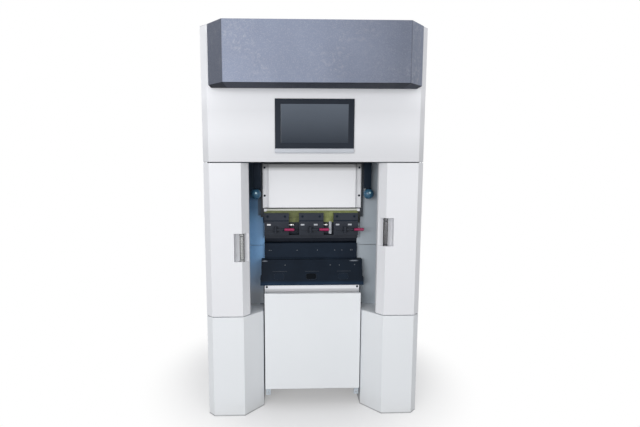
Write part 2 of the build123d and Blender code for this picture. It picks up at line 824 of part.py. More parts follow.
for place, step in (("left", -1), ("middle", 0), ("right", 1)):
    x = -tool_offset + step * clamp_pitch
    nodes[f"clamp_{place}"] = clamp_at(x)
    nodes[f"lever_arm_{place}"] = lever_arm_at(x)
    nodes[f"lever_grip_{place}"] = lever_grip_at(x)

os.makedirs("parts", exist_ok=True)
for label, node in nodes.items():
    node.part.label = label
    export_step(node.part, f"parts/{label}.step")
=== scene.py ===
import json
from itertools import product
from math import cos, pi, radians, sin

import bmesh
import bpy
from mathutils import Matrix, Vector


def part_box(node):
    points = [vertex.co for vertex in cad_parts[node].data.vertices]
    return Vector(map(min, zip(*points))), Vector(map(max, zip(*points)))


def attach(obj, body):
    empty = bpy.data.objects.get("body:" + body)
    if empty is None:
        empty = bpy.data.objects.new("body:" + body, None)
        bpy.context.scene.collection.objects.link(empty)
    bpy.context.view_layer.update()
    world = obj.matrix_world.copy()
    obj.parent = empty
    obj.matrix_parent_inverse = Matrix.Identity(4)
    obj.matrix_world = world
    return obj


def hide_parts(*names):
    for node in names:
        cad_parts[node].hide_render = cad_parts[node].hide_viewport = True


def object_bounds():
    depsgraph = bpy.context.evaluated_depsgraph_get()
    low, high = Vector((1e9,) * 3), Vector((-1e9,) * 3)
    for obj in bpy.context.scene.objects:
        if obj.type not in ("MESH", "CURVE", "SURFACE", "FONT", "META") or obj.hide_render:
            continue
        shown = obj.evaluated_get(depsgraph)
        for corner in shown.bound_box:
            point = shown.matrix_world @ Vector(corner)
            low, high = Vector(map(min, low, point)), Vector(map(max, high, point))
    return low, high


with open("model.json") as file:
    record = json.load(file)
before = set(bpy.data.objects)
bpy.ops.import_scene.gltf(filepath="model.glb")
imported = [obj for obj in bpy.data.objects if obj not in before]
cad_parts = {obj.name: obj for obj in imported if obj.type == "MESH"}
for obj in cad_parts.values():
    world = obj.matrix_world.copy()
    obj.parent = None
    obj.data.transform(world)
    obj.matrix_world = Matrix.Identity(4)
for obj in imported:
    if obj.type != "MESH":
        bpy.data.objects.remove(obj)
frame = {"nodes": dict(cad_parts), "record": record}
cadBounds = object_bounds()
nodes = frame["nodes"]
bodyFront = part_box("housing_front")[0].y
print("frame loaded:", len(nodes), "nodes")


# Short ways to add the shader nodes used most

def addNode(tree, kind, inputs=None, **settings):
    node = tree.nodes.new(kind)
    for name, value in settings.items():
        setattr(node, name, value)
    for key, value in (inputs or {}).items():
        if isinstance(value, bpy.types.NodeSocket):
            tree.links.new(value, node.inputs[key])
        else:
            node.inputs[key].default_value = value
    return node


def mathNode(tree, operation, first, second=0.0, clamp=False):
    return addNode(tree, "ShaderNodeMath", {0: first, 1: second}, operation=operation, use_clamp=clamp).outputs[0]


def multiplied(tree, first, *others):
    for other in others:
        first = mathNode(tree, "MULTIPLY", first, other)
    return first


def mixColor(tree, factor, first, second, blend="MIX"):
    return addNode(tree, "ShaderNodeMix", {0: factor, 6: first, 7: second},
                   data_type="RGBA", blend_type=blend).outputs[2]


def greyed(tree, color, level):
    # the colour times a level
    grey = addNode(tree, "ShaderNodeCombineColor", {0: level, 1: level, 2: level}).outputs[0]
    return mixColor(tree, 1.0, color, grey, "MULTIPLY")


def spread(tree, value, low, high, toLow=0.0, toHigh=1.0, **settings):
    return addNode(tree, "ShaderNodeMapRange", {0: value, 1: low, 2: high, 3: toLow, 4: toHigh},
                   **settings).outputs[0]


def objectPlace(tree):
    return addNode(tree, "ShaderNodeTexCoord").outputs["Object"]


def split(tree, vector):
    return addNode(tree, "ShaderNodeSeparateXYZ", {0: vector}).outputs


def noise(tree, place, scale, detail, roughness=0.5):
    return addNode(tree, "ShaderNodeTexNoise",
                   {"Vector": place, "Scale": scale, "Detail": detail, "Roughness": roughness}).outputs[0]


# Node groups shared by the finishes; a band is the (low, high) of a noise that is spread over 0 to 1

groupValues = {
    "toneBand": (0.36, 0.64), "wideGrain": 0.17, "edgeBand": (0.02, 0.22), "rubBand": (0.35, 0.7),
    "dustScale": 14.0, "dustBand": (0.3, 0.75, 0.3, 1.0), "markBand": (0.35, 0.65),
    "swirl": (0.004, 0.004, 0.004), "fleckBand": (0.5, 0.68)}


def openGroup(name, inputs, outputs):
    # a starting value says which kind of socket an input is
    group = bpy.data.node_groups.new(name, "ShaderNodeTree")
    for label, value in inputs.items():
        kind = "Float" if isinstance(value, float) else {3: "Vector", 4: "Color"}[len(value)]
        socket = group.interface.new_socket(name=label, in_out="INPUT", socket_type=f"NodeSocket{kind}")
        socket.default_value = value
    for label in outputs:
        kind = "Color" if label == "Color" else "Float"
        group.interface.new_socket(name=label, in_out="OUTPUT", socket_type=f"NodeSocket{kind}")
    start = group.nodes.new("NodeGroupInput")
    end = group.nodes.new("NodeGroupOutput")
    return group, start.outputs, end.inputs


def closeGroup(group, result, **sockets):
    for name, socket in sockets.items():
        group.links.new(socket, result[name])
    return group


def buildTone():
    # slow changes of colour over a painted or blackened face
    group, given, result = openGroup(
        "slowTone", {"Color": (0.8, 0.8, 0.8, 1.0), "Second": (0.7, 0.7, 0.7, 1.0), "Amount": 0.5, "Scale": 3.0},
        ("Color", "Mask"))
    cloud = noise(group, objectPlace(group), given["Scale"], detail=5.0, roughness=0.6)
    mask = spread(group, cloud, *groupValues["toneBand"])
    share = multiplied(group, mask, given["Amount"])
    return closeGroup(group, result, Color=mixColor(group, share, given["Color"], given["Second"]), Mask=mask)


def buildGrain():
    # fine texture of sprayed or powder-coated paint
    group, given, result = openGroup("fineGrain", {"Scale": 700.0}, ("Height",))
    place = objectPlace(group)
    fine = noise(group, place, given["Scale"], detail=2.0)
    wide = noise(group, place, multiplied(group, given["Scale"], groupValues["wideGrain"]), detail=1.0)
    return closeGroup(group, result, Height=mathNode(group, "ADD", fine, wide))


def buildWear():
    # where edges are rubbed, from a rounded normal set against the true one
    group, given, result = openGroup("edgeWear", {"Radius": 0.002, "Amount": 0.5, "Patch": 40.0}, ("Mask",))
    rounded = addNode(group, "ShaderNodeBevel", {"Radius": given["Radius"]}, samples=4).outputs[0]
    true = addNode(group, "ShaderNodeNewGeometry").outputs["Normal"]
    same = addNode(group, "ShaderNodeVectorMath", {0: rounded, 1: true}, operation="DOT_PRODUCT").outputs["Value"]
    edge = spread(group, mathNode(group, "SUBTRACT", 1.0, same), *groupValues["edgeBand"])
    broken = spread(group, noise(group, objectPlace(group), given["Patch"], detail=4.0), *groupValues["rubBand"])
    wearAndGlint = multiplied(group, edge, broken)
    return closeGroup(group, result, Mask=mathNode(group, "MULTIPLY", wearAndGlint, given["Amount"], clamp=True))


def buildDust():
    # dust that thins out above the floor
    group, given, result = openGroup("floorDust", {"Reach": 0.3, "Amount": 0.5}, ("Mask",))
    place = objectPlace(group)
    share = mathNode(group, "DIVIDE", split(group, place)["Z"], given["Reach"])
    soft = mathNode(group, "POWER", mathNode(group, "SUBTRACT", 1.0, share, clamp=True), 2.0)
    broken = spread(group, noise(group, place, groupValues["dustScale"], detail=6.0), *groupValues["dustBand"])
    dusty = multiplied(group, soft, broken)
    return closeGroup(group, result, Mask=mathNode(group, "MULTIPLY", dusty, given["Amount"], clamp=True))


def buildBrushed():
    # long grinding or brushing marks along one direction
    group, given, result = openGroup("brushedMarks", {"Stretch": (8.0, 300.0, 300.0)}, ("Height", "Mask"))
    drawn = addNode(group, "ShaderNodeVectorMath", {0: objectPlace(group), 1: given["Stretch"]},
                    operation="MULTIPLY").outputs[0]
    marks = noise(group, drawn, 1.0, detail=4.0, roughness=0.65)
    return closeGroup(group, result, Height=marks, Mask=spread(group, marks, *groupValues["markBand"]))


def buildHammered():
    # the dimples and flecks of a hammered metallic paint
    group, given, result = openGroup("hammeredPaint", {"Scale": 260.0}, ("Height", "Fleck"))
    place = objectPlace(group)
    swirl = addNode(group, "ShaderNodeTexNoise", {"Vector": place, "Scale": given["Scale"], "Detail": 2.0})
    bent = addNode(group, "ShaderNodeVectorMath", {0: swirl.outputs["Color"], 1: groupValues["swirl"]},
                   operation="MULTIPLY").outputs[0]
    moved = addNode(group, "ShaderNodeVectorMath", {0: place, 1: bent}, operation="ADD").outputs[0]
    cells = addNode(group, "ShaderNodeTexVoronoi", {"Vector": moved, "Scale": given["Scale"]}, feature="SMOOTH_F1")
    flecks = noise(group, place, given["Scale"], detail=3.0)
    return closeGroup(group, result, Height=cells.outputs["Distance"],
                      Fleck=spread(group, flecks, *groupValues["fleckBand"]))


slowTone = buildTone()
fineGrain = buildGrain()
edgeWear = buildWear()
floorDust = buildDust()
brushedMarks = buildBrushed()
hammeredPaint = buildHammered()
print("node groups built:", len(bpy.data.node_groups))


# Finishes: one entry each, under its slot in the record or a name of its own; "like" starts from another entry.
# "tone" is (amount, scale), "grain" (scale, depth), "marks" (stretch, depth), "wear" (radius, amount, patch scale)
# and "dust" (reach, amount). "shades" are (height, factor) pairs from the lowest up

finishes = {}
finishValues = {}
commonValues = {"dustDull": 0.3, "paintBump": 0.5, "rubShine": 0.12, "metalBump": 0.4}
shineSockets = {"metallic": "Metallic", "specular": "Specular IOR Level", "coat": "Coat Weight",
                "coatRoughness": "Coat Roughness"}


def rgba(color):
    return (*color, 1.0)


def groupNode(tree, group, **values):
    return addNode(tree, "ShaderNodeGroup", values, node_tree=group).outputs


def toneNode(tree, values):
    amount, scale = values["tone"]
    return groupNode(tree, slowTone, Color=rgba(values["color"]), Second=rgba(values["second"]),
                     Amount=amount, Scale=scale)


def worn(tree, values, color):
    # the colour with its rubbed edges, and where they are
    radius, amount, patch = values["wear"]
    mask = groupNode(tree, edgeWear, Radius=radius, Amount=amount, Patch=patch)["Mask"]
    return mixColor(tree, mask, color, rgba(values["wearColor"])), mask


def newFinish(name, values):
    finish = bpy.data.materials.new(name)
    finish.use_nodes = True
    shader = finish.node_tree.nodes["Principled BSDF"]
    for key, socket in shineSockets.items():
        if key in values:
            shader.inputs[socket].default_value = values[key]
    return finish, finish.node_tree, shader


def makeFinishes(build, entries, base=None):
    for key, own in entries.items():
        values = finishValues[key] = (base or {}) | finishValues.get(own.get("like"), {}) | own
        # white_paint makes the material whitePaint
        first, *others = key.split("_")
        name = own.get("name", first + "".join(other.title() for other in others))
        finishes[key], tree, shader = newFinish(name, values)
        build(tree, shader, values)


def feed(shader, color, roughness=None):
    links = shader.id_data.links
    links.new(color, shader.inputs["Base Color"])
    if roughness:
        links.new(roughness, shader.inputs["Roughness"])


def addBump(tree, shader, height, distance, strength):
    bump = addNode(tree, "ShaderNodeBump", {"Height": height, "Strength": strength, "Distance": distance})
    tree.links.new(bump.outputs[0], shader.inputs["Normal"])


def addGrain(tree, shader, values):
    scale, depth = values["grain"]
    addBump(tree, shader, groupNode(tree, fineGrain, Scale=scale)["Height"], depth, commonValues["paintBump"])


def addMarks(tree, shader, values):
    stretch, depth = values["marks"]
    marks = groupNode(tree, brushedMarks, Stretch=stretch)
    addBump(tree, shader, marks["Height"], depth, commonValues["metalBump"])
    return marks["Mask"]


def colorSoFar(shader):
    return shader.inputs["Base Color"].links[0].from_socket


def heightShade(tree, color, stops):
    low, high = stops[0][0], stops[-1][0]
    height = split(tree, objectPlace(tree))["Z"]
    ramp = addNode(tree, "ShaderNodeValToRGB", {0: spread(tree, height, low, high)})
    elements = ramp.color_ramp.elements
    for level, _ in stops[1:-1]:
        elements.new((level - low) / (high - low))
    for element, (_, factor) in zip(elements, stops):
        element.color = (factor, factor, factor, 1.0)
    return mixColor(tree, 1.0, color, ramp.outputs[0], "MULTIPLY")


def paintFinish(tree, shader, values):
    tone = toneNode(tree, values)
    reach, amount = values["dust"]
    dust = groupNode(tree, floorDust, Reach=reach, Amount=amount)["Mask"]
    color = mixColor(tree, dust, worn(tree, values, tone["Color"])[0], rgba(values["dustColor"]))
    if "shades" in values:
        color = heightShade(tree, color, values["shades"])
    dull = spread(tree, tone["Mask"], 0.0, 1.0, *values["roughness"])
    dusty = multiplied(tree, dust, commonValues["dustDull"])
    feed(shader, color, mathNode(tree, "ADD", dull, dusty, clamp=True))
    addGrain(tree, shader, values)


# the base is for parts well above the floor, which gather little dust
makeFinishes(paintFinish, base={
    "specular": 0.4, "grain": (800.0, 0.00008), "dust": (0.05, 0.1), "dustColor": (0.2, 0.2, 0.2)}, entries={
    "white_paint": {
        "color": (0.76, 0.77, 0.80), "second": (0.72, 0.73, 0.765), "tone": (0.5, 1.6), "roughness": (0.36, 0.46),
        "wear": (0.0012, 0.35, 30.0), "wearColor": (0.62, 0.63, 0.66), "coat": 0.08, "coatRoughness": 0.25,
        "dust": (0.16, 0.35), "dustColor": (0.52, 0.51, 0.50)},
    # a lighter copy of the white paint that stands in for light on the recessed ram cover, with a painted shadow
    # darkening its top under the housing
    "coverWhite": {
        "like": "white_paint", "color": (0.84, 0.85, 0.88), "second": (0.80, 0.81, 0.845),
        "shades": ((1.128, 1.0), (1.334, 1.0), (1.350, 0.68), (1.358, 0.34), (1.376, 0.31))},
    # a lighter copy of the white paint with painted shade on its lower part, behind the top edge of the cover in
    # front
    "stripWhite": {
        "like": "white_paint", "color": (0.86, 0.875, 0.91), "second": (0.82, 0.835, 0.87),
        "shades": ((0.570, 0.62), (0.650, 0.62), (0.666, 0.66), (0.673, 1.0), (0.691, 1.0))},
    # a lighter copy of the white paint with painted shade towards its bottom and painted light under the fascia
    "housingWhite": {
        "like": "white_paint", "color": (0.866, 0.878, 0.912), "second": (0.821, 0.832, 0.872),
        "shades": ((1.384, 0.755), (1.440, 0.79), (1.530, 0.877), (1.640, 0.877), (1.715, 1.0), (2.053, 1.0))},
    # bluish white with a thin band of painted shade where it meets the floor
    "footWhite": {
        "like": "white_paint", "color": (0.775, 0.800, 0.828), "second": (0.735, 0.760, 0.788),
        "shades": ((0.0, 0.50), (0.004, 0.54), (0.009, 1.0), (0.560, 1.0))},
    "grey_paint": {
        "color": (0.455, 0.51, 0.56), "second": (0.39, 0.44, 0.49), "tone": (0.6, 3.0), "roughness": (0.42, 0.55),
        "wear": (0.0012, 0.3, 30.0), "wearColor": (0.5, 0.52, 0.55),
        "dust": (0.3, 0.3), "dustColor": (0.42, 0.41, 0.40)},
    "frame_paint": {
        "color": (0.045, 0.052, 0.064), "second": (0.032, 0.038, 0.048), "tone": (0.7, 5.0),
        "roughness": (0.45, 0.6), "specular": 0.3, "grain": (500.0, 0.0002),
        "wear": (0.0015, 0.5, 35.0), "wearColor": (0.16, 0.17, 0.19),
        "dust": (0.4, 0.4), "dustColor": (0.22, 0.21, 0.20)},
    "arm_black": {
        "color": (0.006, 0.014, 0.028), "second": (0.004, 0.010, 0.020), "tone": (0.6, 8.0),
        "roughness": (0.45, 0.6), "specular": 0.12, "grain": (1200.0, 0.00006),
        "wear": (0.001, 0.3, 60.0), "wearColor": (0.045, 0.055, 0.070)},
    "bezel_black": {
        "color": (0.013, 0.019, 0.031), "second": (0.010, 0.015, 0.025), "tone": (0.5, 20.0),
        "roughness": (0.38, 0.46), "specular": 0.18, "grain": (2500.0, 0.00003),
        "wear": (0.0008, 0.45, 90.0), "wearColor": (0.10, 0.11, 0.13)},
    "sensor_blue": {
        "color": (0.038, 0.122, 0.208), "second": (0.026, 0.094, 0.165), "tone": (0.5, 30.0),
        "roughness": (0.24, 0.32), "specular": 0.5, "coat": 0.3, "coatRoughness": 0.1, "grain": (1500.0, 0.00003),
        "wear": (0.001, 0.3, 80.0), "wearColor": (0.16, 0.27, 0.36)},
    "grip_red": {
        "color": (0.315, 0.011, 0.086), "second": (0.255, 0.009, 0.066), "tone": (0.5, 40.0),
        "roughness": (0.28, 0.38), "specular": 0.5, "coat": 0.2, "coatRoughness": 0.12, "grain": (2200.0, 0.00003),
        "wear": (0.0008, 0.3, 120.0), "wearColor": (0.72, 0.10, 0.15)},
    "beam_light": {
        "name": "beamYellowGreen", "color": (0.180, 0.205, 0.078), "second": (0.130, 0.148, 0.062),
        "tone": (0.6, 12.0), "roughness": (0.4, 0.5), "grain": (1000.0, 0.00006),
        "wear": (0.001, 0.4, 60.0), "wearColor": (0.34, 0.36, 0.16)}})


def noseFinish(tree, shader, values):
    # painted shade: the stretch seen between the left clamps is darker than the one at the right, its right end is
    # nearly black, and random smudges vary it
    paintFinish(tree, shader, values)
    place = objectPlace(tree)
    across = split(tree, place)["X"]
    smudge = noise(tree, place, values["smudgeScale"], detail=3.0)
    level = multiplied(tree, spread(tree, across, *values["across"]), spread(tree, smudge, *values["smudge"]),
                       spread(tree, across, *values["shadedEnd"]))
    feed(shader, greyed(tree, colorSoFar(shader), level))


makeFinishes(noseFinish, {"beamNose": {
    "like": "beam_light", "color": (0.205, 0.235, 0.074), "second": (0.150, 0.172, 0.060),
    "across": (-0.09, 0.08, 0.62, 1.0), "shadedEnd": (0.2575, 0.2600, 1.0, 0.10),
    "smudgeScale": 55.0, "smudge": (0.3, 0.7, 0.75, 1.15)}})


def metalFinish(tree, shader, values):
    color, wearAndGlint = worn(tree, values, toneNode(tree, values)["Color"])
    if "shades" in values:
        color = heightShade(tree, color, values["shades"])
    dull = spread(tree, addMarks(tree, shader, values), 0.0, 1.0, *values["roughness"])
    polish = multiplied(tree, wearAndGlint, commonValues["rubShine"])
    feed(shader, color, mathNode(tree, "SUBTRACT", dull, polish, clamp=True))


makeFinishes(metalFinish, base={"metallic": 0.0}, entries={
    "steel_bright": {
        "color": (0.58, 0.59, 0.61), "second": (0.48, 0.49, 0.51), "tone": (0.5, 20.0), "metallic": 0.85,
        "roughness": (0.28, 0.4), "marks": ((30.0, 30.0, 900.0), 0.00004),
        "wear": (0.001, 0.3, 60.0), "wearColor": (0.72, 0.72, 0.73)},
    "tool_steel": {
        "color": (0.0092, 0.0175, 0.0320), "second": (0.0060, 0.0120, 0.0230), "tone": (0.8, 9.0), "specular": 0.13,
        "roughness": (0.34, 0.5), "marks": ((10.0, 260.0, 420.0), 0.00006),
        "wear": (0.0014, 0.6, 45.0), "wearColor": (0.13, 0.145, 0.17)},
    "pocketBlack": {
        "like": "tool_steel", "color": (0.0025, 0.0045, 0.0075), "second": (0.0018, 0.0032, 0.0055),
        "specular": 0.05, "wear": (0.0014, 0.2, 45.0)},
    "clamp_steel": {
        "color": (0.0325, 0.039, 0.054), "second": (0.0235, 0.029, 0.0415), "tone": (0.7, 14.0), "specular": 0.2,
        "shades": ((0.972, 0.72), (1.000, 0.76), (1.045, 0.89), (1.070, 1.0), (1.100, 1.0)),
        "roughness": (0.36, 0.5), "marks": ((14.0, 300.0, 500.0), 0.00005),
        "wear": (0.0012, 0.6, 60.0), "wearColor": (0.16, 0.17, 0.20)},
    "stainless": {
        "name": "stainlessBar", "color": (0.62, 0.62, 0.63), "second": (0.52, 0.52, 0.54), "tone": (0.4, 25.0),
        "metallic": 1.0, "roughness": (0.12, 0.22), "marks": ((600.0, 600.0, 20.0), 0.00002),
        "wear": (0.001, 0.2, 80.0), "wearColor": (0.75, 0.75, 0.76)},
    "trim_silver": {
        "color": (0.46, 0.485, 0.53), "second": (0.42, 0.44, 0.49), "tone": (0.4, 14.0), "metallic": 0.25,
        "roughness": (0.34, 0.42), "marks": ((12.0, 500.0, 900.0), 0.00003),
        "wear": (0.001, 0.25, 60.0), "wearColor": (0.66, 0.68, 0.72)},
    "pinSteel": {"like": "trim_silver", "color": (0.115, 0.130, 0.150), "second": (0.085, 0.098, 0.115),
                 "metallic": 0.0}})


def holderFinish(tree, shader, values):
    # blackened steel with painted glints near both ends of its upper edge, and paler along its foot
    metalFinish(tree, shader, values)
    parts = split(tree, objectPlace(tree))
    # painted glints: a thin band under the upper edge, bright near both ends
    low, middle, high = values["glintHeight"]
    band = multiplied(tree, spread(tree, parts["Z"], low, middle), spread(tree, parts["Z"], high, middle))
    total = 0.0
    for start, end in values["rubs"]:
        away = mathNode(tree, "ABSOLUTE", mathNode(tree, "SUBTRACT", parts["X"], (start + end) / 2))
        half = (end - start) / 2
        total = mathNode(tree, "ADD", spread(tree, away, half, half * values["glintCore"]), total)
    wearAndGlint = mathNode(tree, "MULTIPLY", multiplied(tree, band, total), values["glintAmount"], clamp=True)
    toned = greyed(tree, colorSoFar(shader), spread(tree, parts["Z"], *values["footTone"]))
    feed(shader, mixColor(tree, wearAndGlint, toned, rgba(values["glintColor"])))


makeFinishes(holderFinish, {"holderSteel": {
    "like": "tool_steel", "color": (0.0062, 0.0125, 0.0235), "second": (0.0042, 0.0088, 0.0170), "specular": 0.08,
    "rubs": ((-0.286, -0.250), (0.212, 0.268)), "glintCore": 0.4, "glintHeight": (0.8215, 0.8255, 0.8305),
    "glintColor": (0.30, 0.33, 0.38), "glintAmount": 0.8, "footTone": (0.718, 0.704, 1.0, 2.7)}})

fasciaValues = {
    "color": (0.296, 0.338, 0.455), "second": (0.236, 0.272, 0.374), "tone": (0.6, 4.0),
    "metallic": 0.25, "specular": 0.3, "roughness": (0.44, 0.30),
    "fleck": (0.46, 0.48, 0.56), "fleckAmount": 0.45, "scale": 230.0, "depth": 0.00035, "bump": 0.6,
    "blotchScale": 46.0, "blotch": (0.5, 0.64, 0.0, 0.55), "patchScale": 5.5, "patches": (0.47, 0.66),
    # levels of painted light and shade: a painted reflection that darkens left to right and from top to foot,
    # painted shade on the left slanted end and painted light on the right one, painted shade on the underside and
    # along the bent edges
    "across": (0.87, 0.56), "rightMargin": 0.12, "upward": (0.90, 1.0), "end": (0.0780, 0.0795),
    "leftEnd": 0.48, "rightEnd": 1.45, "facing": (-0.9, -0.4), "under": 0.36, "underDull": 0.5,
    "fold": 0.079, "foldReach": 0.004, "foldShade": 0.65,
    "wear": (0.0016, 0.5, 30.0), "wearColor": (0.085, 0.095, 0.120)}


def fasciaFinish(tree, shader, values):
    low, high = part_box("fascia")
    place = objectPlace(tree)
    parts = split(tree, place)
    dimples = groupNode(tree, hammeredPaint, Scale=values["scale"])
    share = multiplied(tree, dimples["Fleck"], values["fleckAmount"])
    flecked = mixColor(tree, share, toneNode(tree, values)["Color"], rgba(values["fleck"]))
    blotches = spread(tree, noise(tree, place, values["blotchScale"], detail=4.0, roughness=0.7), *values["blotch"])
    where = spread(tree, noise(tree, place, values["patchScale"], detail=2.0), *values["patches"])
    patched = mixColor(tree, multiplied(tree, blotches, where), flecked, rgba(values["fleck"]))
    # painted reflection, painted light and painted shade, multiplied over the hammered paint
    across = spread(tree, parts["X"], 0.0, high.x - values["rightMargin"], *values["across"])
    upward = spread(tree, parts["Z"], low.z, high.z, *values["upward"])
    near, far = values["end"]
    leftEnd = spread(tree, parts["X"], low.x + near, low.x + far, values["leftEnd"], 1.0)
    rightEnd = spread(tree, parts["X"], high.x - far, high.x - near, 1.0, values["rightEnd"])
    facing = split(tree, addNode(tree, "ShaderNodeTexCoord").outputs["Normal"])["Z"]
    under = spread(tree, facing, *values["facing"], values["under"], 1.0)
    folds = [mathNode(tree, "ABSOLUTE", mathNode(tree, "SUBTRACT", parts["X"], x))
             for x in (low.x + values["fold"], high.x - values["fold"])]
    fold = spread(tree, mathNode(tree, "MINIMUM", *folds), 0.0, values["foldReach"], values["foldShade"], 1.0)
    toned = greyed(tree, patched, multiplied(tree, across, upward, leftEnd, rightEnd, under, fold))
    dull = spread(tree, dimples["Fleck"], 0.0, 1.0, *values["roughness"])
    matt = spread(tree, under, values["under"], 1.0, values["underDull"], 0.0)
    feed(shader, worn(tree, values, toned)[0], mathNode(tree, "ADD", dull, matt, clamp=True))
    addBump(tree, shader, dimples["Height"], values["depth"], values["bump"])


shroudValues = {
    "name": "shroudBlueCast", "color": (0.235, 0.47, 0.80), "second": (0.1927, 0.3854, 0.656), "tone": (0.7, 7.0),
    "specular": 0.4, "grey": (0.40, 0.43, 0.47), "dark": (0.055, 0.095, 0.150), "shade": (0.085, 0.190, 0.340),
    # heights between which the grey turns blue, the blue deepens into painted shade and then turns into a painted
    # shadow
    "greyFade": (0.65, 0.87), "shadeFade": (1.05, 1.16), "shadowFade": (1.2, 1.25), "waves": 0.06, "cloudScale": 5.0,
    "beside": (-0.309, -0.304), "besideFrom": 1.082,
    "roughness": (0.3, 0.7, 0.34, 0.46), "grain": (800.0, 0.00008)}


def shroudBlueFinish(tree, shader, values):
    # the left panel takes a blue cast between the sensor head and the holder, deepened upwards by painted shade and
    # with a painted shadow above
    place = objectPlace(tree)
    parts = split(tree, place)
    cloud = noise(tree, place, values["cloudScale"], detail=4.0)
    waved = mathNode(tree, "ADD", parts["Z"], multiplied(tree, cloud, values["waves"]))
    blue = mixColor(tree, spread(tree, waved, *values["shadeFade"]), toneNode(tree, values)["Color"],
                    rgba(values["shade"]))
    lower = mixColor(tree, spread(tree, waved, *values["greyFade"]), rgba(values["grey"]), blue)
    upper = mixColor(tree, spread(tree, waved, *values["shadowFade"]), lower, rgba(values["dark"]))
    # the strip next to the ram's plate is in its shade
    beside = multiplied(tree, spread(tree, parts["X"], *values["beside"]),
                        mathNode(tree, "GREATER_THAN", parts["Z"], values["besideFrom"]))
    feed(shader, mixColor(tree, beside, upper, rgba(values["dark"])), spread(tree, cloud, *values["roughness"]))
    addGrain(tree, shader, values)


# top and bottom are the colours of a painted reflection on the glass
screenValues = {
    "name": "screenGlass", "top": (0.104, 0.127, 0.163), "bottom": (0.010, 0.018, 0.032),
    "haze": 0.02, "reflectionWaverScale": 6.0, "roughness": (0.35, 0.7, 0.10, 0.16), "smearScale": 22.0,
    "specular": 0.35, "coat": 0.3, "coatRoughness": 0.06}


def screenFinish(tree, shader, values):
    # a switched-off panel with a painted reflection that makes it paler towards its top
    low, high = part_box("screen_glass")
    place = objectPlace(tree)
    haze = multiplied(tree, noise(tree, place, values["reflectionWaverScale"], detail=3.0), values["haze"])
    waved = mathNode(tree, "ADD", split(tree, place)["Z"], haze)
    share = spread(tree, waved, low.z, high.z + values["haze"])
    feed(shader, mixColor(tree, share, rgba(values["bottom"]), rgba(values["top"])),
         spread(tree, noise(tree, place, values["smearScale"], detail=5.0), *values["roughness"]))


makeFinishes(fasciaFinish, {"fascia_paint": fasciaValues})
makeFinishes(shroudBlueFinish, {"shroudBlue": shroudValues})
makeFinishes(screenFinish, {"screen": screenValues})


def handleFinish(tree, shader, values):
    # plated bar with a painted reflection, dark towards its narrow sides
    across = split(tree, addNode(tree, "ShaderNodeTexCoord").outputs["Normal"])["X"]
    streaks = addMarks(tree, shader, values)
    wavy = mathNode(tree, "ADD", mathNode(tree, "ABSOLUTE", across), multiplied(tree, streaks, values["streaks"]))
    feed(shader, mixColor(tree, spread(tree, wavy, *values["fade"]), rgba(values["middle"]), rgba(values["side"])),
         spread(tree, streaks, 0.0, 1.0, *values["roughness"]))


def diffuserFinish(tree, shader, values):
    # milky plastic: the light's cover, and the pale eyes of the sensor heads, which are partly a painted highlight
    tone = toneNode(tree, values)
    feed(shader, tone["Color"], spread(tree, tone["Mask"], 0.0, 1.0, *values["roughness"]))


makeFinishes(handleFinish, base={
    "side": (0.035, 0.038, 0.038), "streaks": 0.22, "marks": ((240.0, 240.0, 18.0), 0.00003),
    "roughness": (0.16, 0.28), "metallic": 0.75}, entries={
    "handleChrome": {"middle": (0.55, 0.56, 0.56), "fade": (0.35, 0.92)},
    # the right bar is a darker copy of the same chrome: a painted darker reflection
    "handleSmoked": {"middle": (0.20, 0.20, 0.21), "fade": (0.25, 0.92)}})
makeFinishes(diffuserFinish, base={"tone": (0.5, 9.0), "roughness": (0.3, 0.42)}, entries={
    "diffuser": {"name": "lightDiffuser", "color": (0.56, 0.57, 0.53), "second": (0.46, 0.48, 0.40),
                 "specular": 0.4},
    "lensCyan": {"color": (0.50, 0.78, 0.84), "second": (0.36, 0.62, 0.70), "specular": 0.8, "coat": 0.6,
                 "coatRoughness": 0.05}})
print("finishes built:", len(bpy.data.materials))


# Rounded edges and finishes on the frame's own nodes

edgeValues = {
    "width": 0.0008, "angle": 32.0, "segments": 2, "weldReach": 0.00001, "sharpAngle": 38.0,
    "wider": {"ram_cover": 0.003, "door_left": 0.0012, "door_right": 0.0012, "pedestal_left": 0.0012,
              "pedestal_right": 0.0012, "housing_front": 0.0012, "fascia": 0.0015, "bed_cover": 0.002,
              "frame_plates": 0.0015, "die_holder": 0.0012, "screen_bezel": 0.001, "ram_nose": 0.001}}
# nodes that take another finish than their slot's; the housing's underside takes the dark frame paint as painted
# shade under the housing
ownFinishes = {
    "shroud_left": "shroudBlue", "punch": "clamp_steel", "housing_floor": "frame_paint",
    "ram_cover": "coverWhite", "bed_face": "stripWhite", "housing_front": "housingWhite",
    "pedestal_left": "footWhite", "pedestal_right": "footWhite", "bed_cover": "footWhite",
    "ram_nose": "beamNose", "die_holder": "holderSteel"}


def roundEdges(piece, width, weld=False):
    if weld:
        merge = piece.modifiers.new("joinSplitCorners", "WELD")
        merge.merge_threshold = edgeValues["weldReach"]
    bevel = piece.modifiers.new("roundEdges", "BEVEL")
    bevel.limit_method = "ANGLE"
    bevel.angle_limit = radians(edgeValues["angle"])
    bevel.width = width
    bevel.segments = edgeValues["segments"]
    piece.modifiers.new("evenShading", "WEIGHTED_NORMAL").keep_sharp = True


for subpart in frame["record"]["subparts"]:
    name = subpart["node"]
    nodes[name].data.materials.clear()
    nodes[name].data.materials.append(finishes[ownFinishes.get(name, subpart["material_slot"])])
    roundEdges(nodes[name], edgeValues["wider"].get(name, edgeValues["width"]), weld=True)
print("nodes finished")


# Mesh helpers for the added pieces

toFront = (0, -1, 0)
sides = ("left", "right")
clampPlaces = ("left", "middle", "right")


def mean(low, high):
    return (low + high) / 2


def hexReach(angle):
    return cos(pi / 6) / cos(angle % (pi / 3) - pi / 6)


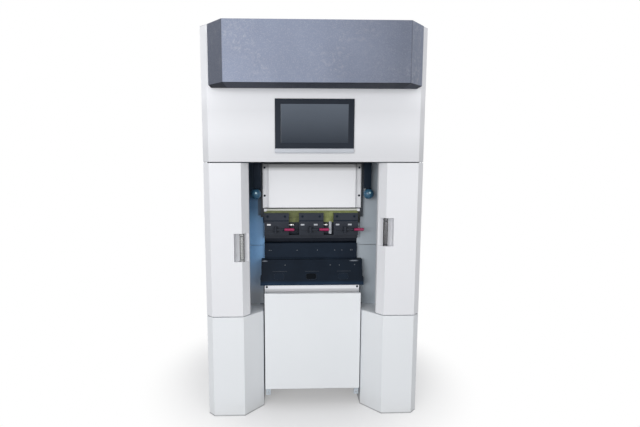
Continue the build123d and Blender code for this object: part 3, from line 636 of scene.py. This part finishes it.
def joinRings(bm, rings, finish):
    # closed at both ends, with a wall from each ring to the next
    faces = [bm.faces.new(rings[0][::-1]), bm.faces.new(rings[-1])]
    for lower, upper in zip(rings, rings[1:]):
        for step in range(len(lower)):
            after = (step + 1) % len(lower)
            faces.append(bm.faces.new((lower[step], lower[after], upper[after], upper[step])))
    for face in faces:
        face.material_index = finish


def addTurned(bm, profile, place, direction, steps=24, finish=0, scale=(1.0, 1.0)):
    # rings of (distance along, radius) round an axis; a third value makes a ring hexagonal
    turn = Vector(direction).to_track_quat("Z", "Y").to_matrix().to_4x4()
    turn.translation = Vector(place)
    rings = []
    for along, radius, *hexagonal in profile:
        ring = []
        for step in range(steps):
            angle = 2 * pi * step / steps
            reach = radius * scale[1] * (hexReach(angle) if hexagonal else 1.0)
            ring.append(bm.verts.new(turn @ Vector((reach * cos(angle), reach * sin(angle), along * scale[0]))))
        rings.append(ring)
    joinRings(bm, rings, finish)


def addPrism(bm, outline, low, high, axis="X", finish=0):
    # a closed outline carried along an axis, with the other two coordinates in order
    def corner(first, second, along):
        return {"X": (along, first, second), "Y": (first, along, second), "Z": (first, second, along)}[axis]
    joinRings(bm, [[bm.verts.new(corner(*point, along)) for point in outline] for along in (low, high)], finish)


def roundedOutline(width, height, radius, middle=(0.0, 0.0), steps=5):
    points = []
    for cornerX, cornerY, start in ((1, 1, 0), (-1, 1, 1), (-1, -1, 2), (1, -1, 3)):
        for step in range(steps + 1):
            angle = (start + step / steps) * pi / 2
            points.append((middle[0] + cornerX * (width / 2 - radius) + radius * cos(angle),
                           middle[1] + cornerY * (height / 2 - radius) + radius * sin(angle)))
    return points


def slotOutline(width, depth, middle, steps):
    points = []
    radius = depth / 2
    for side, start in ((1, -0.5), (-1, 0.5)):
        for step in range(steps + 1):
            angle = (start + step / steps) * pi
            points.append((middle[0] + side * (width / 2 - radius) + radius * cos(angle),
                           middle[1] + radius * sin(angle)))
    return points


def placeObject(name, data):
    placed = bpy.data.objects.new(name, data)
    bpy.context.scene.collection.objects.link(placed)
    return placed


def finishPiece(name, bm, finishNames, body, replaced=(), bevel=0.0):
    bmesh.ops.recalc_face_normals(bm, faces=bm.faces)
    mesh = bpy.data.meshes.new(name)
    bm.to_mesh(mesh)
    bm.free()
    for finishName in finishNames:
        mesh.materials.append(finishes[finishName])
    mesh.shade_smooth()
    mesh.set_sharp_from_angle(angle=radians(edgeValues["sharpAngle"]))
    piece = placeObject(name, mesh)
    if bevel:
        roundEdges(piece, bevel)
    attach(piece, body)
    if replaced:
        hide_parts(*replaced)


# screw heads with a hexagonal recess, as shares of their height and radius
screwProfiles = {
    "cap": [(0.0, 1.0), (0.75, 1.0), (0.93, 0.95), (1.0, 0.86), (1.0, 0.56), (0.97, 0.5, 1), (0.35, 0.5, 1)],
    "button": [(0.0, 1.0), (0.25, 1.0), (0.62, 0.86), (0.9, 0.62), (1.0, 0.42), (0.97, 0.38, 1), (0.3, 0.38, 1)]}


def addScrew(bm, kind, place, direction, radius, height):
    addTurned(bm, screwProfiles[kind], place, direction, scale=(height, radius))


# Work light under the ram cover: a yellow-green carrier with a milky diffuser

lightValues = {
    "split": 0.25, "carrierRadius": 0.002, "coverRadius": 0.004, "inset": 0.0015, "bevel": 0.0006,
    "cap": 0.016, "capRadius": 0.003, "capShort": 0.0005, "capProud": 0.0003,
    "seal": 0.0022, "sealRadius": 0.0008, "sealShort": 0.002, "sealProud": 0.0006, "sealBack": 0.001}


def makeLightBar():
    values = lightValues
    low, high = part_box("light_bar")
    width, height = high.x - low.x, high.z - low.z
    middle, parting = mean(low.x, high.x), low.z + height * values["split"]
    bm = bmesh.new()
    carrier = roundedOutline(width, parting - low.z, values["carrierRadius"], (middle, mean(low.z, parting)))
    addPrism(bm, carrier, low.y + values["inset"], high.y, "Y", 0)
    cover = roundedOutline(width, high.z - parting, values["coverRadius"], (middle, mean(parting, high.z)))
    addPrism(bm, cover, low.y, high.y, "Y", 1)
    for x in (low.x + values["cap"] / 2, high.x - values["cap"] / 2):
        cap = roundedOutline(values["cap"], height - values["capShort"], values["capRadius"],
                             (x, mean(low.z, high.z)))
        addPrism(bm, cap, low.y - values["capProud"], high.y, "Y", 2)
    seal = roundedOutline(width - values["sealShort"], values["seal"], values["sealRadius"],
                          (middle, high.z - values["seal"] / 2))
    addPrism(bm, seal, low.y - values["sealProud"], high.y - values["sealBack"], "Y", 3)
    finishPiece("work_light", bm, ("beam_light", "diffuser", "white_paint", "arm_black"),
                "ram", ("light_bar",), values["bevel"])


makeLightBar()
print("work light made")


# Die: relief along its foot, broken edges and the rounded shoulders of its groove

dieValues = {
    "relief": 0.0028, "reliefHeight": 0.007, "reliefSlope": 0.002, "edge": 0.0012, "bevel": 0.0005,
    "grooveHalf": 0.012, "grooveSlope": 0.9657, "grooveFloor": 0.0008,
    "shoulder": 0.0016, "shoulderDrops": (0.35, 1.2), "tangHalf": 0.007, "tangDepth": 0.008}


def makeDie():
    values = dieValues
    low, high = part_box("die")
    middle, half = mean(low.y, high.y), (high.y - low.y) / 2
    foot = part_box("die_holder")[1].z
    step = foot + values["reliefHeight"]
    groove, shoulder = values["grooveHalf"], values["shoulder"]
    upper, lower = values["shoulderDrops"]
    right = [(values["tangHalf"], foot - values["tangDepth"]), (values["tangHalf"], foot),
             (half - values["relief"], foot), (half - values["relief"], step), (half, step + values["reliefSlope"]),
             (half, high.z - values["edge"]), (half - values["edge"], high.z), (groove + shoulder, high.z),
             (groove, high.z - shoulder * upper), (groove - shoulder, high.z - shoulder * lower),
             (values["grooveFloor"], high.z - groove / values["grooveSlope"])]
    outline = [(middle + y, z) for y, z in right] + [(middle - y, z) for y, z in reversed(right)]
    bm = bmesh.new()
    addPrism(bm, outline, low.x, high.x)
    finishPiece("v_die", bm, ("tool_steel",), "machine", ("die",), values["bevel"])


makeDie()
print("die made")


# Dowel heads where small pale marks show on the tools

pinValues = {
    "steps": 20, "profile": [(-0.001, 1.0), (0.0001, 1.0), (0.0003, 0.8), (0.0003, 0.45), (0.0, 0.3)],
    "places": (-0.242, -0.233, -0.084, 0.033, 0.132, 0.173, 0.223, 0.232), "height": 0.884, "radius": 0.0030}


def addPin(bm, place, direction, radius, finish=0):
    addTurned(bm, pinValues["profile"], place, direction, pinValues["steps"], finish, (1.0, radius))


def makeDiePins():
    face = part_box("die")[0].y
    bm = bmesh.new()
    for x in pinValues["places"]:
        addPin(bm, (x, face, pinValues["height"]), toFront, pinValues["radius"])
    finishPiece("die_pins", bm, ("pinSteel",), "machine")


makeDiePins()
print("die pins made")


# Die holder: dark inserts in its three recesses and a scribed line above each

holderValues = {
    # the sloping face: where it starts and ends, back from the housing's front and up from its foot
    "foot": 0.152, "upright": 0.022, "top": 0.182, "height": 0.142, "rise": 0.050,
    "places": ((-0.187, 3), (-0.005, 0), (0.177, 3)), "insert": (0.056, 0.032, 0.010),
    "insertDepths": (-0.0032, -0.0018),
    "line": (0.082, 0.0011), "lineRound": 0.45, "lineShift": (0.004, 0.0285), "lineDepths": (-0.0005, 0.00015),
    "pins": ((-0.153, 0.112), (0.104, 0.112), (0.156, 0.111), (0.243, 0.113)), "pinRadius": 0.0027}


def makeHolderDetails():
    values = holderValues
    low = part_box("die_holder")[0]
    slope = (values["top"] - values["foot"]) / (values["height"] - values["upright"])
    lean = Vector((0, slope, 1)).normalized()
    out = Vector((0, -1, slope)).normalized()

    def onFace(x, rise):
        return Vector((x, bodyFront + values["foot"] + (rise - values["upright"]) * slope, low.z + rise))
    middle = onFace(0, values["rise"])
    length, thick = values["line"]
    insert = roundedOutline(*values["insert"])
    line = roundedOutline(length, thick, thick * values["lineRound"], values["lineShift"])
    bm = bmesh.new()
    for x, insertFinish in values["places"]:
        for outline, depths, finish in ((insert, values["insertDepths"], insertFinish),
                                        (line, values["lineDepths"], 1)):
            joinRings(bm, [[bm.verts.new(middle + Vector((x + across, 0, 0)) + lean * up + out * along)
                            for across, up in outline] for along in depths], finish)
    for x, rise in values["pins"]:
        addPin(bm, onFace(x, rise), out, values["pinRadius"], 2)
    finishPiece("holder_inserts", bm, ("pocketBlack", "frame_paint", "pinSteel", "arm_black"),
                "machine")


makeHolderDetails()
print("holder details made")


# Lever grips: turned, with a steel ferrule at the arm's end

gripValues = {
    "ferrule": [(0.0, 0.0042), (0.0, 0.0050), (0.006, 0.0052), (0.0065, 0.0046)],
    "profile": [(0.0065, 0.0035), (0.0065, 0.0060), (0.0075, 0.0070), (0.012, 0.0075), (0.018, 0.0073),
                (0.030, 0.0077), (0.044, 0.0082), (0.052, 0.0085), (0.057, 0.0083), (0.060, 0.0072),
                (0.0615, 0.0050), (0.062, 0.0022)],
    "steps": 32}


def makeGrip(place):
    low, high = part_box(f"lever_grip_{place}")
    start = (low.x, mean(low.y, high.y), mean(low.z, high.z))
    bm = bmesh.new()
    addTurned(bm, gripValues["profile"], start, (1, 0, 0), gripValues["steps"], 0)
    addTurned(bm, gripValues["ferrule"], start, (1, 0, 0), gripValues["steps"], 1)
    finishPiece(f"turned_grip_{place}", bm, ("grip_red", "arm_black"), f"{place}_lever",
                (f"lever_grip_{place}",))


for place in clampPlaces:
    makeGrip(place)
print("grips made")


# Small parts on each clamp: screws, blank plates, spindle heads and wedges

clampValues = {
    # the faces of a clamp's body and plate, back from the housing's front
    "body": 0.166, "plate": 0.170,
    "screws": (-0.050, 0.047), "screwHeight": 1.082, "screwSize": (0.0065, 0.003),
    "slotScrews": (-0.004, 0.038), "slotRise": 0.030, "slotSize": (0.0055, 0.0022),
    "blanks": {"left": ((-0.243, 0),), "middle": ((-0.054, 2), (0.0195, 2)), "right": ((0.1425, 2), (0.2115, 2))},
    "blankHeight": 1.036, "blankSize": (0.021, 0.0085, 0.0012), "blankDepth": 0.0008, "blankSunk": 0.0004,
    "blankBevel": 0.0002,
    "rivet": [(0.0, 0.0011), (0.0003, 0.0010), (0.0005, 0.0005)], "rivetInset": 0.0024, "rivetSteps": 12,
    "knobs": {"left": (-0.131, 0.028), "middle": (0.064, 0.023)}, "knobHeight": 1.0335, "knobRadius": 0.0088,
    "knobBack": 0.012, "knobNeck": (0.001, 0.55), "knobSteps": 36,
    "knobProfile": [(0.35, 0.55), (0.36, 0.92), (0.42, 1.0), (0.9, 1.0), (0.98, 0.88), (1.0, 0.7),
                    (1.0, 0.5, 1), (0.8, 0.5, 1)],
    "wedge": (1.0415, 1.0565), "wedgeChamfer": 0.003, "wedgeBack": 0.0003, "wedgeShort": 0.001,
    "wedgeBevel": 0.0004, "gap": 1.0600, "gapProud": 0.0004, "sunk": 0.001}


def makeClampScrews(place):
    values = clampValues
    low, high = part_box(f"clamp_{place}")
    rows = ((values["screws"], values["plate"], values["screwHeight"], values["screwSize"]),
            (values["slotScrews"], values["body"], low.z + values["slotRise"], values["slotSize"]))
    bm = bmesh.new()
    for shifts, back, z, size in rows:
        for shift in shifts:
            addScrew(bm, "cap", (mean(low.x, high.x) + shift, bodyFront + back, z), toFront, *size)
    finishPiece(f"clamp_screws_{place}", bm, ("arm_black",), "ram")


def makeBlankPlates(place):
    # bare plates with two rivets, nothing written on them
    values = clampValues
    front = bodyFront + values["body"]
    face = front - values["blankDepth"]
    bm = bmesh.new()
    for x, finish in values["blanks"][place]:
        outline = roundedOutline(*values["blankSize"], (x, values["blankHeight"]))
        addPrism(bm, outline, face, front + values["blankSunk"], "Y", finish)
        reach = values["blankSize"][0] / 2 - values["rivetInset"]
        for rivetX in (x - reach, x + reach):
            addTurned(bm, values["rivet"], (rivetX, face, values["blankHeight"]), toFront, values["rivetSteps"], 1)
    finishPiece(f"blank_plates_{place}", bm, ("white_paint", "steel_bright", "trim_silver"), "ram",
                (), values["blankBevel"])


def makeKnob(place):
    # the polished head of the spindle that leaves the clamp at its right
    values = clampValues
    face, reach = values["knobs"][place]
    sunk, neck = values["knobNeck"]
    start = (face, bodyFront + values["body"] + values["knobBack"], values["knobHeight"])
    bm = bmesh.new()
    addTurned(bm, [(-sunk / reach, neck), *values["knobProfile"]], start, (1, 0, 0), values["knobSteps"],
              scale=(reach, values["knobRadius"]))
    finishPiece(f"spindle_head_{place}", bm, ("stainless",), "ram")


def makeLedge(place):
    # the wedge along the foot of the clamp's plate, with the dark gap above it
    values = clampValues
    low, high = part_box(f"clamp_{place}")
    ends = (low.x + values["wedgeShort"], high.x - values["wedgeShort"])
    body, plate = bodyFront + values["body"], bodyFront + values["plate"]
    inside, front, gapFront = plate + values["sunk"], body + values["wedgeBack"], plate - values["gapProud"]
    bottom, top = values["wedge"]
    chamfer = values["wedgeChamfer"]
    bm = bmesh.new()
    addPrism(bm, [(inside, bottom), (front, bottom), (front, top - chamfer), (body + chamfer, top),
                  (inside, top)], *ends, "X", 0)
    addPrism(bm, [(inside, top), (gapFront, top), (gapFront, values["gap"]), (inside, values["gap"])],
             *ends, "X", 1)
    finishPiece(f"clamp_wedge_{place}", bm, ("clamp_steel", "arm_black"), "ram", (),
                values["wedgeBevel"])


for place in clampPlaces:
    makeClampScrews(place)
    makeBlankPlates(place)
for place in clampValues["knobs"]:
    makeKnob(place)
for place in clampPlaces:
    makeLedge(place)
print("clamp details made")


# Light steel strip that hangs between the middle and the right clamp

stripValues = {"x": (0.096, 0.111), "z": (0.981, 1.050), "corner": 0.002, "thickness": 0.002, "back": 0.1925,
               "screwSize": (0.003, 0.0014), "screwDrop": 0.006, "bevel": 0.0003}


def makeStrip():
    values = stripValues
    (left, right), (bottom, top) = values["x"], values["z"]
    back = bodyFront + values["back"]
    front = back - values["thickness"]
    outline = roundedOutline(right - left, top - bottom, values["corner"], (mean(left, right), mean(bottom, top)))
    bm = bmesh.new()
    addPrism(bm, outline, front, back, "Y")
    addScrew(bm, "button", (mean(left, right), front, top - values["screwDrop"]), toFront, *values["screwSize"])
    finishPiece("hanging_strip", bm, ("trim_silver",), "ram", (), values["bevel"])


makeStrip()
print("strip made")


# Spacer blocks between the clamps, behind the spindle heads

spacerValues = {
    "gaps": ((-0.131, -0.074), (0.064, 0.121)), "y": (0.196, 0.221), "top": 0.001, "bottom": 0.002,
    "clearance": 0.001, "chamfer": (0.006, 0.014), "screwSize": (0.005, 0.003), "screwDrop": 0.012,
    "bevel": 0.0008}


def makeSpacers():
    values = spacerValues
    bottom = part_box("clamp_middle")[0].z + values["bottom"]
    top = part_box("ram_nose")[0].z - values["top"]
    front, back = (bodyFront + y for y in values["y"])
    deep, tall = values["chamfer"]
    outline = [(front + deep, bottom), (back, bottom), (back, top), (front, top), (front, bottom + tall)]
    bm = bmesh.new()
    for left, right in values["gaps"]:
        addPrism(bm, outline, left + values["clearance"], right - values["clearance"])
        addScrew(bm, "cap", (mean(left, right), front, mean(bottom, top) - values["screwDrop"]), toFront,
                 *values["screwSize"])
    finishPiece("clamp_spacers", bm, ("clamp_steel",), "ram", (), values["bevel"])


makeSpacers()
print("spacers made")


# Narrow strips that close the gaps between the shrouds and the tools

lipValues = {
    "y": (-0.2892, -0.2864), "tool": {"left": 0.2703, "right": 0.2605}, "bevel": 0.0003,
    "finish": {"left": "shroudBlue", "right": "grey_paint"},
    # (across, height) corners: out and up from the foot, then down under the tool's edge
    "outer": [(0.2775, 0.565), (0.2995, 0.565), (0.2995, 0.8375), (0.2755, 0.8375), (0.2755, 1.040)],
    "edge": (1.040, 0.8345),
    "inner": [(0.288, 0.8345), (0.288, 0.7365), (0.294, 0.7365), (0.294, 0.6895), (0.2775, 0.6895)]}


def makeLip(place):
    values = lipValues
    side = {"left": -1, "right": 1}[place]
    edge = [(values["tool"][place], z) for z in values["edge"]]
    outline = [(side * x, z) for x, z in values["outer"] + edge + values["inner"]]
    bm = bmesh.new()
    addPrism(bm, outline, *values["y"], "Y")
    finishPiece(f"shroud_lip_{place}", bm, (values["finish"][place],), "machine", (),
                values["bevel"])


for place in sides:
    makeLip(place)
print("shroud lips made")


# Sensor heads: a split dome under a collar, a lens towards the tools and a pale eye at the front that is partly a
# painted highlight

sensorValues = {
    "domeSteps": 28, "steps": 48, "split": 0.0008, "splitHeight": 0.28, "splitReach": 0.001,
    "collar": [(-0.008, 0.8), (-0.006, 1.0), (-0.001, 1.0), (0.0, 0.93)], "collarRadius": 0.016, "collarSteps": 36,
    "lens": [(0.0, 1.25), (0.0012, 1.25), (0.0016, 1.0), (0.0002, 0.9)], "lensRadius": 0.0075, "lensSteps": 32,
    "lensReach": 0.93,
    "eye": [(0.97, 1.3), (0.992, 1.25), (1.0, 1.0), (1.005, 0.6)], "eyeRadius": 0.0042, "eyeSteps": 28,
    "eyeTowards": (0.1, -1.0, 0.25)}


def makeSensorHeads():
    values = sensorValues
    low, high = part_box("sensor_heads")
    radius = (high.y - low.y) / 2
    y, z = mean(low.y, high.y), low.z + radius
    dome = []
    for step in range(1, values["domeSteps"]):
        angle = pi * step / values["domeSteps"]
        along, reach = -radius * cos(angle), radius * sin(angle)
        if abs(along - radius * values["splitHeight"]) < values["splitReach"]:
            reach -= values["split"]
        dome.append((along, reach))
    towards = Vector(values["eyeTowards"]).normalized()
    bm = bmesh.new()
    for side in (-1, 1):
        x = side * (high.x - radius)
        lensX = x - side * radius * values["lensReach"]
        addTurned(bm, dome, (x, y, z), (0, 0, 1), values["steps"], 0)
        addTurned(bm, values["collar"], (x, y, high.z), (0, 0, 1), values["collarSteps"], 1,
                  (1.0, values["collarRadius"]))
        addTurned(bm, values["lens"], (lensX, y, z), (-side, 0, 0), values["lensSteps"], 1,
                  (1.0, values["lensRadius"]))
        addTurned(bm, values["eye"], (x, y, z), towards, values["eyeSteps"], 2, (radius, values["eyeRadius"]))
    finishPiece("laser_heads", bm, ("sensor_blue", "arm_black", "lensCyan"), "machine",
                ("sensor_heads",))


makeSensorHeads()
print("sensor heads made")


# Door handles: a polished bar between two dark end fittings

handleValues = {
    "steps": 10, "bevel": 0.0012, "bar": {"left": "handleChrome", "right": "handleSmoked"},
    # from the bottom: height, how much thinner than the full bar, and which finish
    "bands": [(0.009, 0.0, 0), (0.003, 0.0022, 1), (0.121, 0.0008, 0), (0.003, 0.0024, 1), (0.011, 0.0004, 0),
              (0.003, 0.0020, 1)]}


def makeHandle(place):
    values = handleValues
    low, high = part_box(f"handle_{place}")
    middle = (mean(low.x, high.x), mean(low.y, high.y))
    bm = bmesh.new()
    z = low.z
    for height, thinner, finish in values["bands"]:
        outline = slotOutline(high.x - low.x - 2 * thinner, high.y - low.y - 2 * thinner, middle, values["steps"])
        addPrism(bm, outline, z, z + height, "Z", finish)
        z += height
    finishPiece(f"pull_bar_{place}", bm, (values["bar"][place], "arm_black"), f"{place}_door",
                (f"handle_{place}",), values["bevel"])


for place in sides:
    makeHandle(place)
print("handles made")


# Fasteners on the front, in mirrored pairs

frontScrewValues = {
    "cover": {"x": 0.266, "z": (1.197, 1.354), "size": (0.0062, 0.0026), "proud": 0.0025},
    "strip": {"x": 0.257, "z": (0.681,), "size": (0.0064, 0.0028)},
    "bracket": {"inset": 0.012, "rise": 0.016, "size": (0.0045, 0.002)}}


def makeScrewPairs(name, body, finishName, x, y, heights, size):
    bm = bmesh.new()
    for side, z in product((-1, 1), heights):
        addScrew(bm, "button", (side * x, y, z), toFront, *size)
    finishPiece(name, bm, (finishName,), body)


def makeFrontScrews():
    cover, strip, bracket = (frontScrewValues[key] for key in ("cover", "strip", "bracket"))
    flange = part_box("ram_beam")[0].y - cover["proud"]
    makeScrewPairs("cover_screws", "ram", "arm_black", cover["x"], flange, cover["z"], cover["size"])
    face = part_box("bed_face")[0].y
    makeScrewPairs("strip_screws", "machine", "arm_black", strip["x"], face, strip["z"], strip["size"])
    low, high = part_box("cover_brackets")
    makeScrewPairs("bracket_screws", "machine", "steel_bright", high.x - bracket["inset"], low.y,
                   (low.z + bracket["rise"],), bracket["size"])


makeFrontScrews()
print("front fasteners made")


# Joints, latches, fasteners and vents on the sides, back and roof

seamValues = {"width": 0.0024, "round": 0.3, "proud": 0.0003, "depth": 0.0006}
latchValues = {
    "places": ((-0.18, 1.30), (0.18, 1.30), (-0.18, 0.66), (0.18, 0.66)), "radius": 0.014, "height": 0.0005,
    "sunk": 0.0002, "profile": [(0.0, 1.0), (0.6, 1.0), (1.0, 0.93), (1.0, 0.62), (0.4, 0.58)], "steps": 36,
    "slot": (0.9, 0.22, 0.1), "slotHeight": 0.55}


def makeSeams():
    # dark joints between the sheets at the sides and the back
    width, proud, depth = seamValues["width"], seamValues["proud"], seamValues["depth"]

    def joint(across, up, middle):
        return roundedOutline(across, up, width * seamValues["round"], middle)
    low, high = cadBounds
    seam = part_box("housing_front")[0].z
    front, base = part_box("side_panels")[0].y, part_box("side_panels")[0].z
    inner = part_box("bed_beam")[1].x
    bm = bmesh.new()
    for z in (seam, base):
        for side, face in ((-1, low.x), (1, high.x)):
            ends = sorted((face + side * proud, face - side * depth))
            addPrism(bm, joint(high.y - front, width, (mean(front, high.y), z)), *ends)
    outlines = [joint(high.x - low.x, width, (0.0, seam))]
    for side in (-1, 1):
        outlines += [joint(high.x - inner, width, (side * mean(inner, high.x), base)),
                     joint(width, base, (side * inner, base / 2))]
    for outline in outlines:
        addPrism(bm, outline, high.y - depth, high.y + proud, "Y")
    finishPiece("panel_joints", bm, ("arm_black",), "machine")


def makeLatches():
    # quarter-turn latches with a dark slot
    values = latchValues
    back = cadBounds[1].y
    radius, height = values["radius"], values["height"]
    bm = bmesh.new()
    for x, z in values["places"]:
        addTurned(bm, values["profile"], (x, back - values["sunk"], z), (0, 1, 0), values["steps"], 0,
                  (height, radius))
        slotShape = roundedOutline(*(radius * share for share in values["slot"]), (x, z))
        addPrism(bm, slotShape, back, back + height * values["slotHeight"], "Y", 1)
    finishPiece("back_latches", bm, ("stainless", "arm_black"), "machine")


# each "End" is what a row of screws keeps clear of the panel's corner
panelValues = {
    "size": (0.006, 0.0005), "inset": 0.022, "sunk": 0.0002, "row": 6,
    "lowerEnd": 0.15, "lowerCount": 4, "upperEnd": 0.17, "upperCount": 3,
    "legFoot": 0.13, "legEnd": 0.01, "legCount": 4,
    "roofFront": 0.06, "roofEdge": 0.04, "roofEnd": 0.2, "roofCount": 4}


def evenly(low, high, count):
    return [low + (high - low) * index / (count - 1) for index in range(count)]


def makePanelScrews():
    values = panelValues
    low, high = cadBounds
    inset, sunk = values["inset"], values["sunk"]
    seam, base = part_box("housing_front")[0].z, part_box("door_left")[0].z
    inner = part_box("bed_beam")[1].x - inset
    edges = (low.x + inset, high.x - inset)
    end, back, roof = high.y - inset, (high.y - sunk,), (high.z - sunk,)
    rows = (base + inset, seam - inset, seam + inset, high.z - inset)
    depths = evenly(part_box("side_panels")[0].y + inset, end, values["row"])
    lower = evenly(base + values["lowerEnd"], seam - values["lowerEnd"], values["lowerCount"])
    upper = evenly(seam + values["upperEnd"], high.z - values["upperEnd"], values["upperCount"])
    leg = evenly(values["legFoot"], base - inset - values["legEnd"], values["legCount"])
    # each grid is a direction, then the places along x, y and z
    grids = {
        "back_screws": [((0, 1, 0), evenly(*edges, values["row"]), back, rows), ((0, 1, 0), edges, back, lower),
                        ((0, 1, 0), edges, back, upper), ((0, 1, 0), (-inner, inner), back, leg)],
        "side_screws": [((side, 0, 0), (face - side * sunk,), depths, rows)
                        for side, face in ((-1, low.x), (1, high.x))],
        "roof_screws": [((0, 0, 1), edges, evenly(bodyFront + values["roofFront"], end, values["row"]), roof),
                        ((0, 0, 1), evenly(low.x + values["roofEnd"], high.x - values["roofEnd"],
                                           values["roofCount"]), (bodyFront + values["roofEdge"], end), roof)]}
    for name, parts in grids.items():
        bm = bmesh.new()
        for direction, *spots in parts:
            for place in product(*spots):
                addScrew(bm, "button", place, direction, *values["size"])
        finishPiece(name, bm, ("steel_bright",), "machine")


ventValues = {"x": (-0.28, 0.28), "z": 1.62, "pitch": 0.022, "count": 12, "width": 0.24, "height": 0.008,
              "round": 0.49, "steps": 6, "depth": 0.001, "proud": 0.0003}


def makeVents():
    # rows of rounded slots in the back, blind and dark
    values = ventValues
    back = cadBounds[1].y
    bm = bmesh.new()
    for x, row in product(values["x"], range(values["count"])):
        outline = roundedOutline(values["width"], values["height"], values["height"] * values["round"],
                                 (x, values["z"] + row * values["pitch"]), values["steps"])
        addPrism(bm, outline, back - values["depth"], back + values["proud"], "Y")
    finishPiece("back_vents", bm, ("arm_black",), "machine")


makeSeams()
makeLatches()
makePanelScrews()
makeVents()
print("panel fasteners and vents made")


# Floor, lights and camera

floorValues = {
    "size": 40.0, "color": (0.80, 0.80, 0.81), "second": (0.77, 0.77, 0.785), "tone": (0.5, 0.7),
    "roughness": 0.6, "specular": 0.25, "fade": (0.55, 1.08), "glow": (0.3, 1.0), "bounce": 0.30}


def makeFloor():
    values = floorValues
    mesh = bpy.data.meshes.new("floor")
    half = values["size"] / 2
    mesh.from_pydata([(-half, -half, 0), (half, -half, 0), (half, half, 0), (-half, half, 0)], [], [(0, 1, 2, 3)])
    floor = placeObject("floor", mesh)
    finish, tree, shader = newFinish("paleFloor", values)
    shader.inputs["Roughness"].default_value = values["roughness"]
    feed(shader, toneNode(tree, values)["Color"])
    place = addNode(tree, "ShaderNodeNewGeometry").outputs["Position"]
    reach = addNode(tree, "ShaderNodeVectorMath", {0: place}, operation="LENGTH").outputs["Value"]
    share = spread(tree, reach, *values["fade"], *values["glow"], interpolation_type="SMOOTHSTEP")
    glow = addNode(tree, "ShaderNodeEmission", {"Color": (1, 1, 1, 1), "Strength": 1.0}).outputs[0]
    seen = addNode(tree, "ShaderNodeMixShader", {0: share, 1: shader.outputs[0], 2: glow}).outputs[0]
    # what the floor throws back is dimmer than what the camera sees of it
    dim = [channel * values["bounce"] / values["color"][0] for channel in values["color"]]
    thrown = addNode(tree, "ShaderNodeBsdfDiffuse", {"Color": rgba(dim)}).outputs[0]
    byCamera = addNode(tree, "ShaderNodeLightPath").outputs["Is Camera Ray"]
    both = addNode(tree, "ShaderNodeMixShader", {0: byCamera, 1: thrown, 2: seen}).outputs[0]
    tree.links.new(both, tree.nodes["Material Output"].inputs["Surface"])
    mesh.materials.append(finish)


studioValues = {
    "ambient": 0.72,
    "lights": {
        "keyLight": {"place": (-2.2, -4.8, 1.7), "aim": (0.0, -0.4, 1.0), "size": (3.0, 1.8), "power": 110.0},
        "fillLight": {"place": (2.4, -4.8, 1.5), "aim": (0.3, -0.4, 1.0), "size": (2.4, 1.8), "power": 41.0},
        "topLight": {"place": (0.0, -0.6, 4.8), "aim": (0.0, -0.2, 0.0), "size": (3.2, 3.2), "power": 14.0}}}


def makeLights():
    world = bpy.data.worlds.new("studio")
    bpy.context.scene.world = world
    world.use_nodes = True
    tree = world.node_tree
    background = tree.nodes["Background"]
    background.inputs["Color"].default_value = (1, 1, 1, 1)
    byCamera = addNode(tree, "ShaderNodeLightPath").outputs["Is Camera Ray"]
    tree.links.new(spread(tree, byCamera, 0.0, 1.0, studioValues["ambient"], 1.0), background.inputs["Strength"])
    for name, values in studioValues["lights"].items():
        lamp = bpy.data.lights.new(name, "AREA")
        lamp.shape = "RECTANGLE"
        lamp.size, lamp.size_y = values["size"]
        lamp.energy = values["power"]
        holder = placeObject(name, lamp)
        holder.location = values["place"]
        holder.rotation_euler = (Vector(values["aim"]) - Vector(values["place"])).to_track_quat("-Z", "Y").to_euler()


cameraValues = {"place": (-0.1515, -2.785, 1.3728), "pitch": 0.122, "yaw": -0.030, "lens": 24.75,
                "sensor": 36.0, "image": (640.0, 427.0), "middle": (298.28, 218.1)}


def makeCamera():
    values = cameraValues
    camera = bpy.data.cameras.new("photoCamera")
    holder = placeObject("photoCamera", camera)
    holder.location = values["place"]
    holder.rotation_euler = (pi / 2 - values["pitch"], 0.0, values["yaw"])
    camera.lens = values["lens"]
    camera.sensor_width = values["sensor"]
    width, height = values["image"]
    camera.shift_x = (width / 2 - values["middle"][0]) / width
    camera.shift_y = (values["middle"][1] - height / 2) / width
    bpy.context.scene.camera = holder


makeFloor()
makeLights()
makeCamera()
bpy.context.scene.view_settings.view_transform = "Standard"
print("stage, lights and camera set")
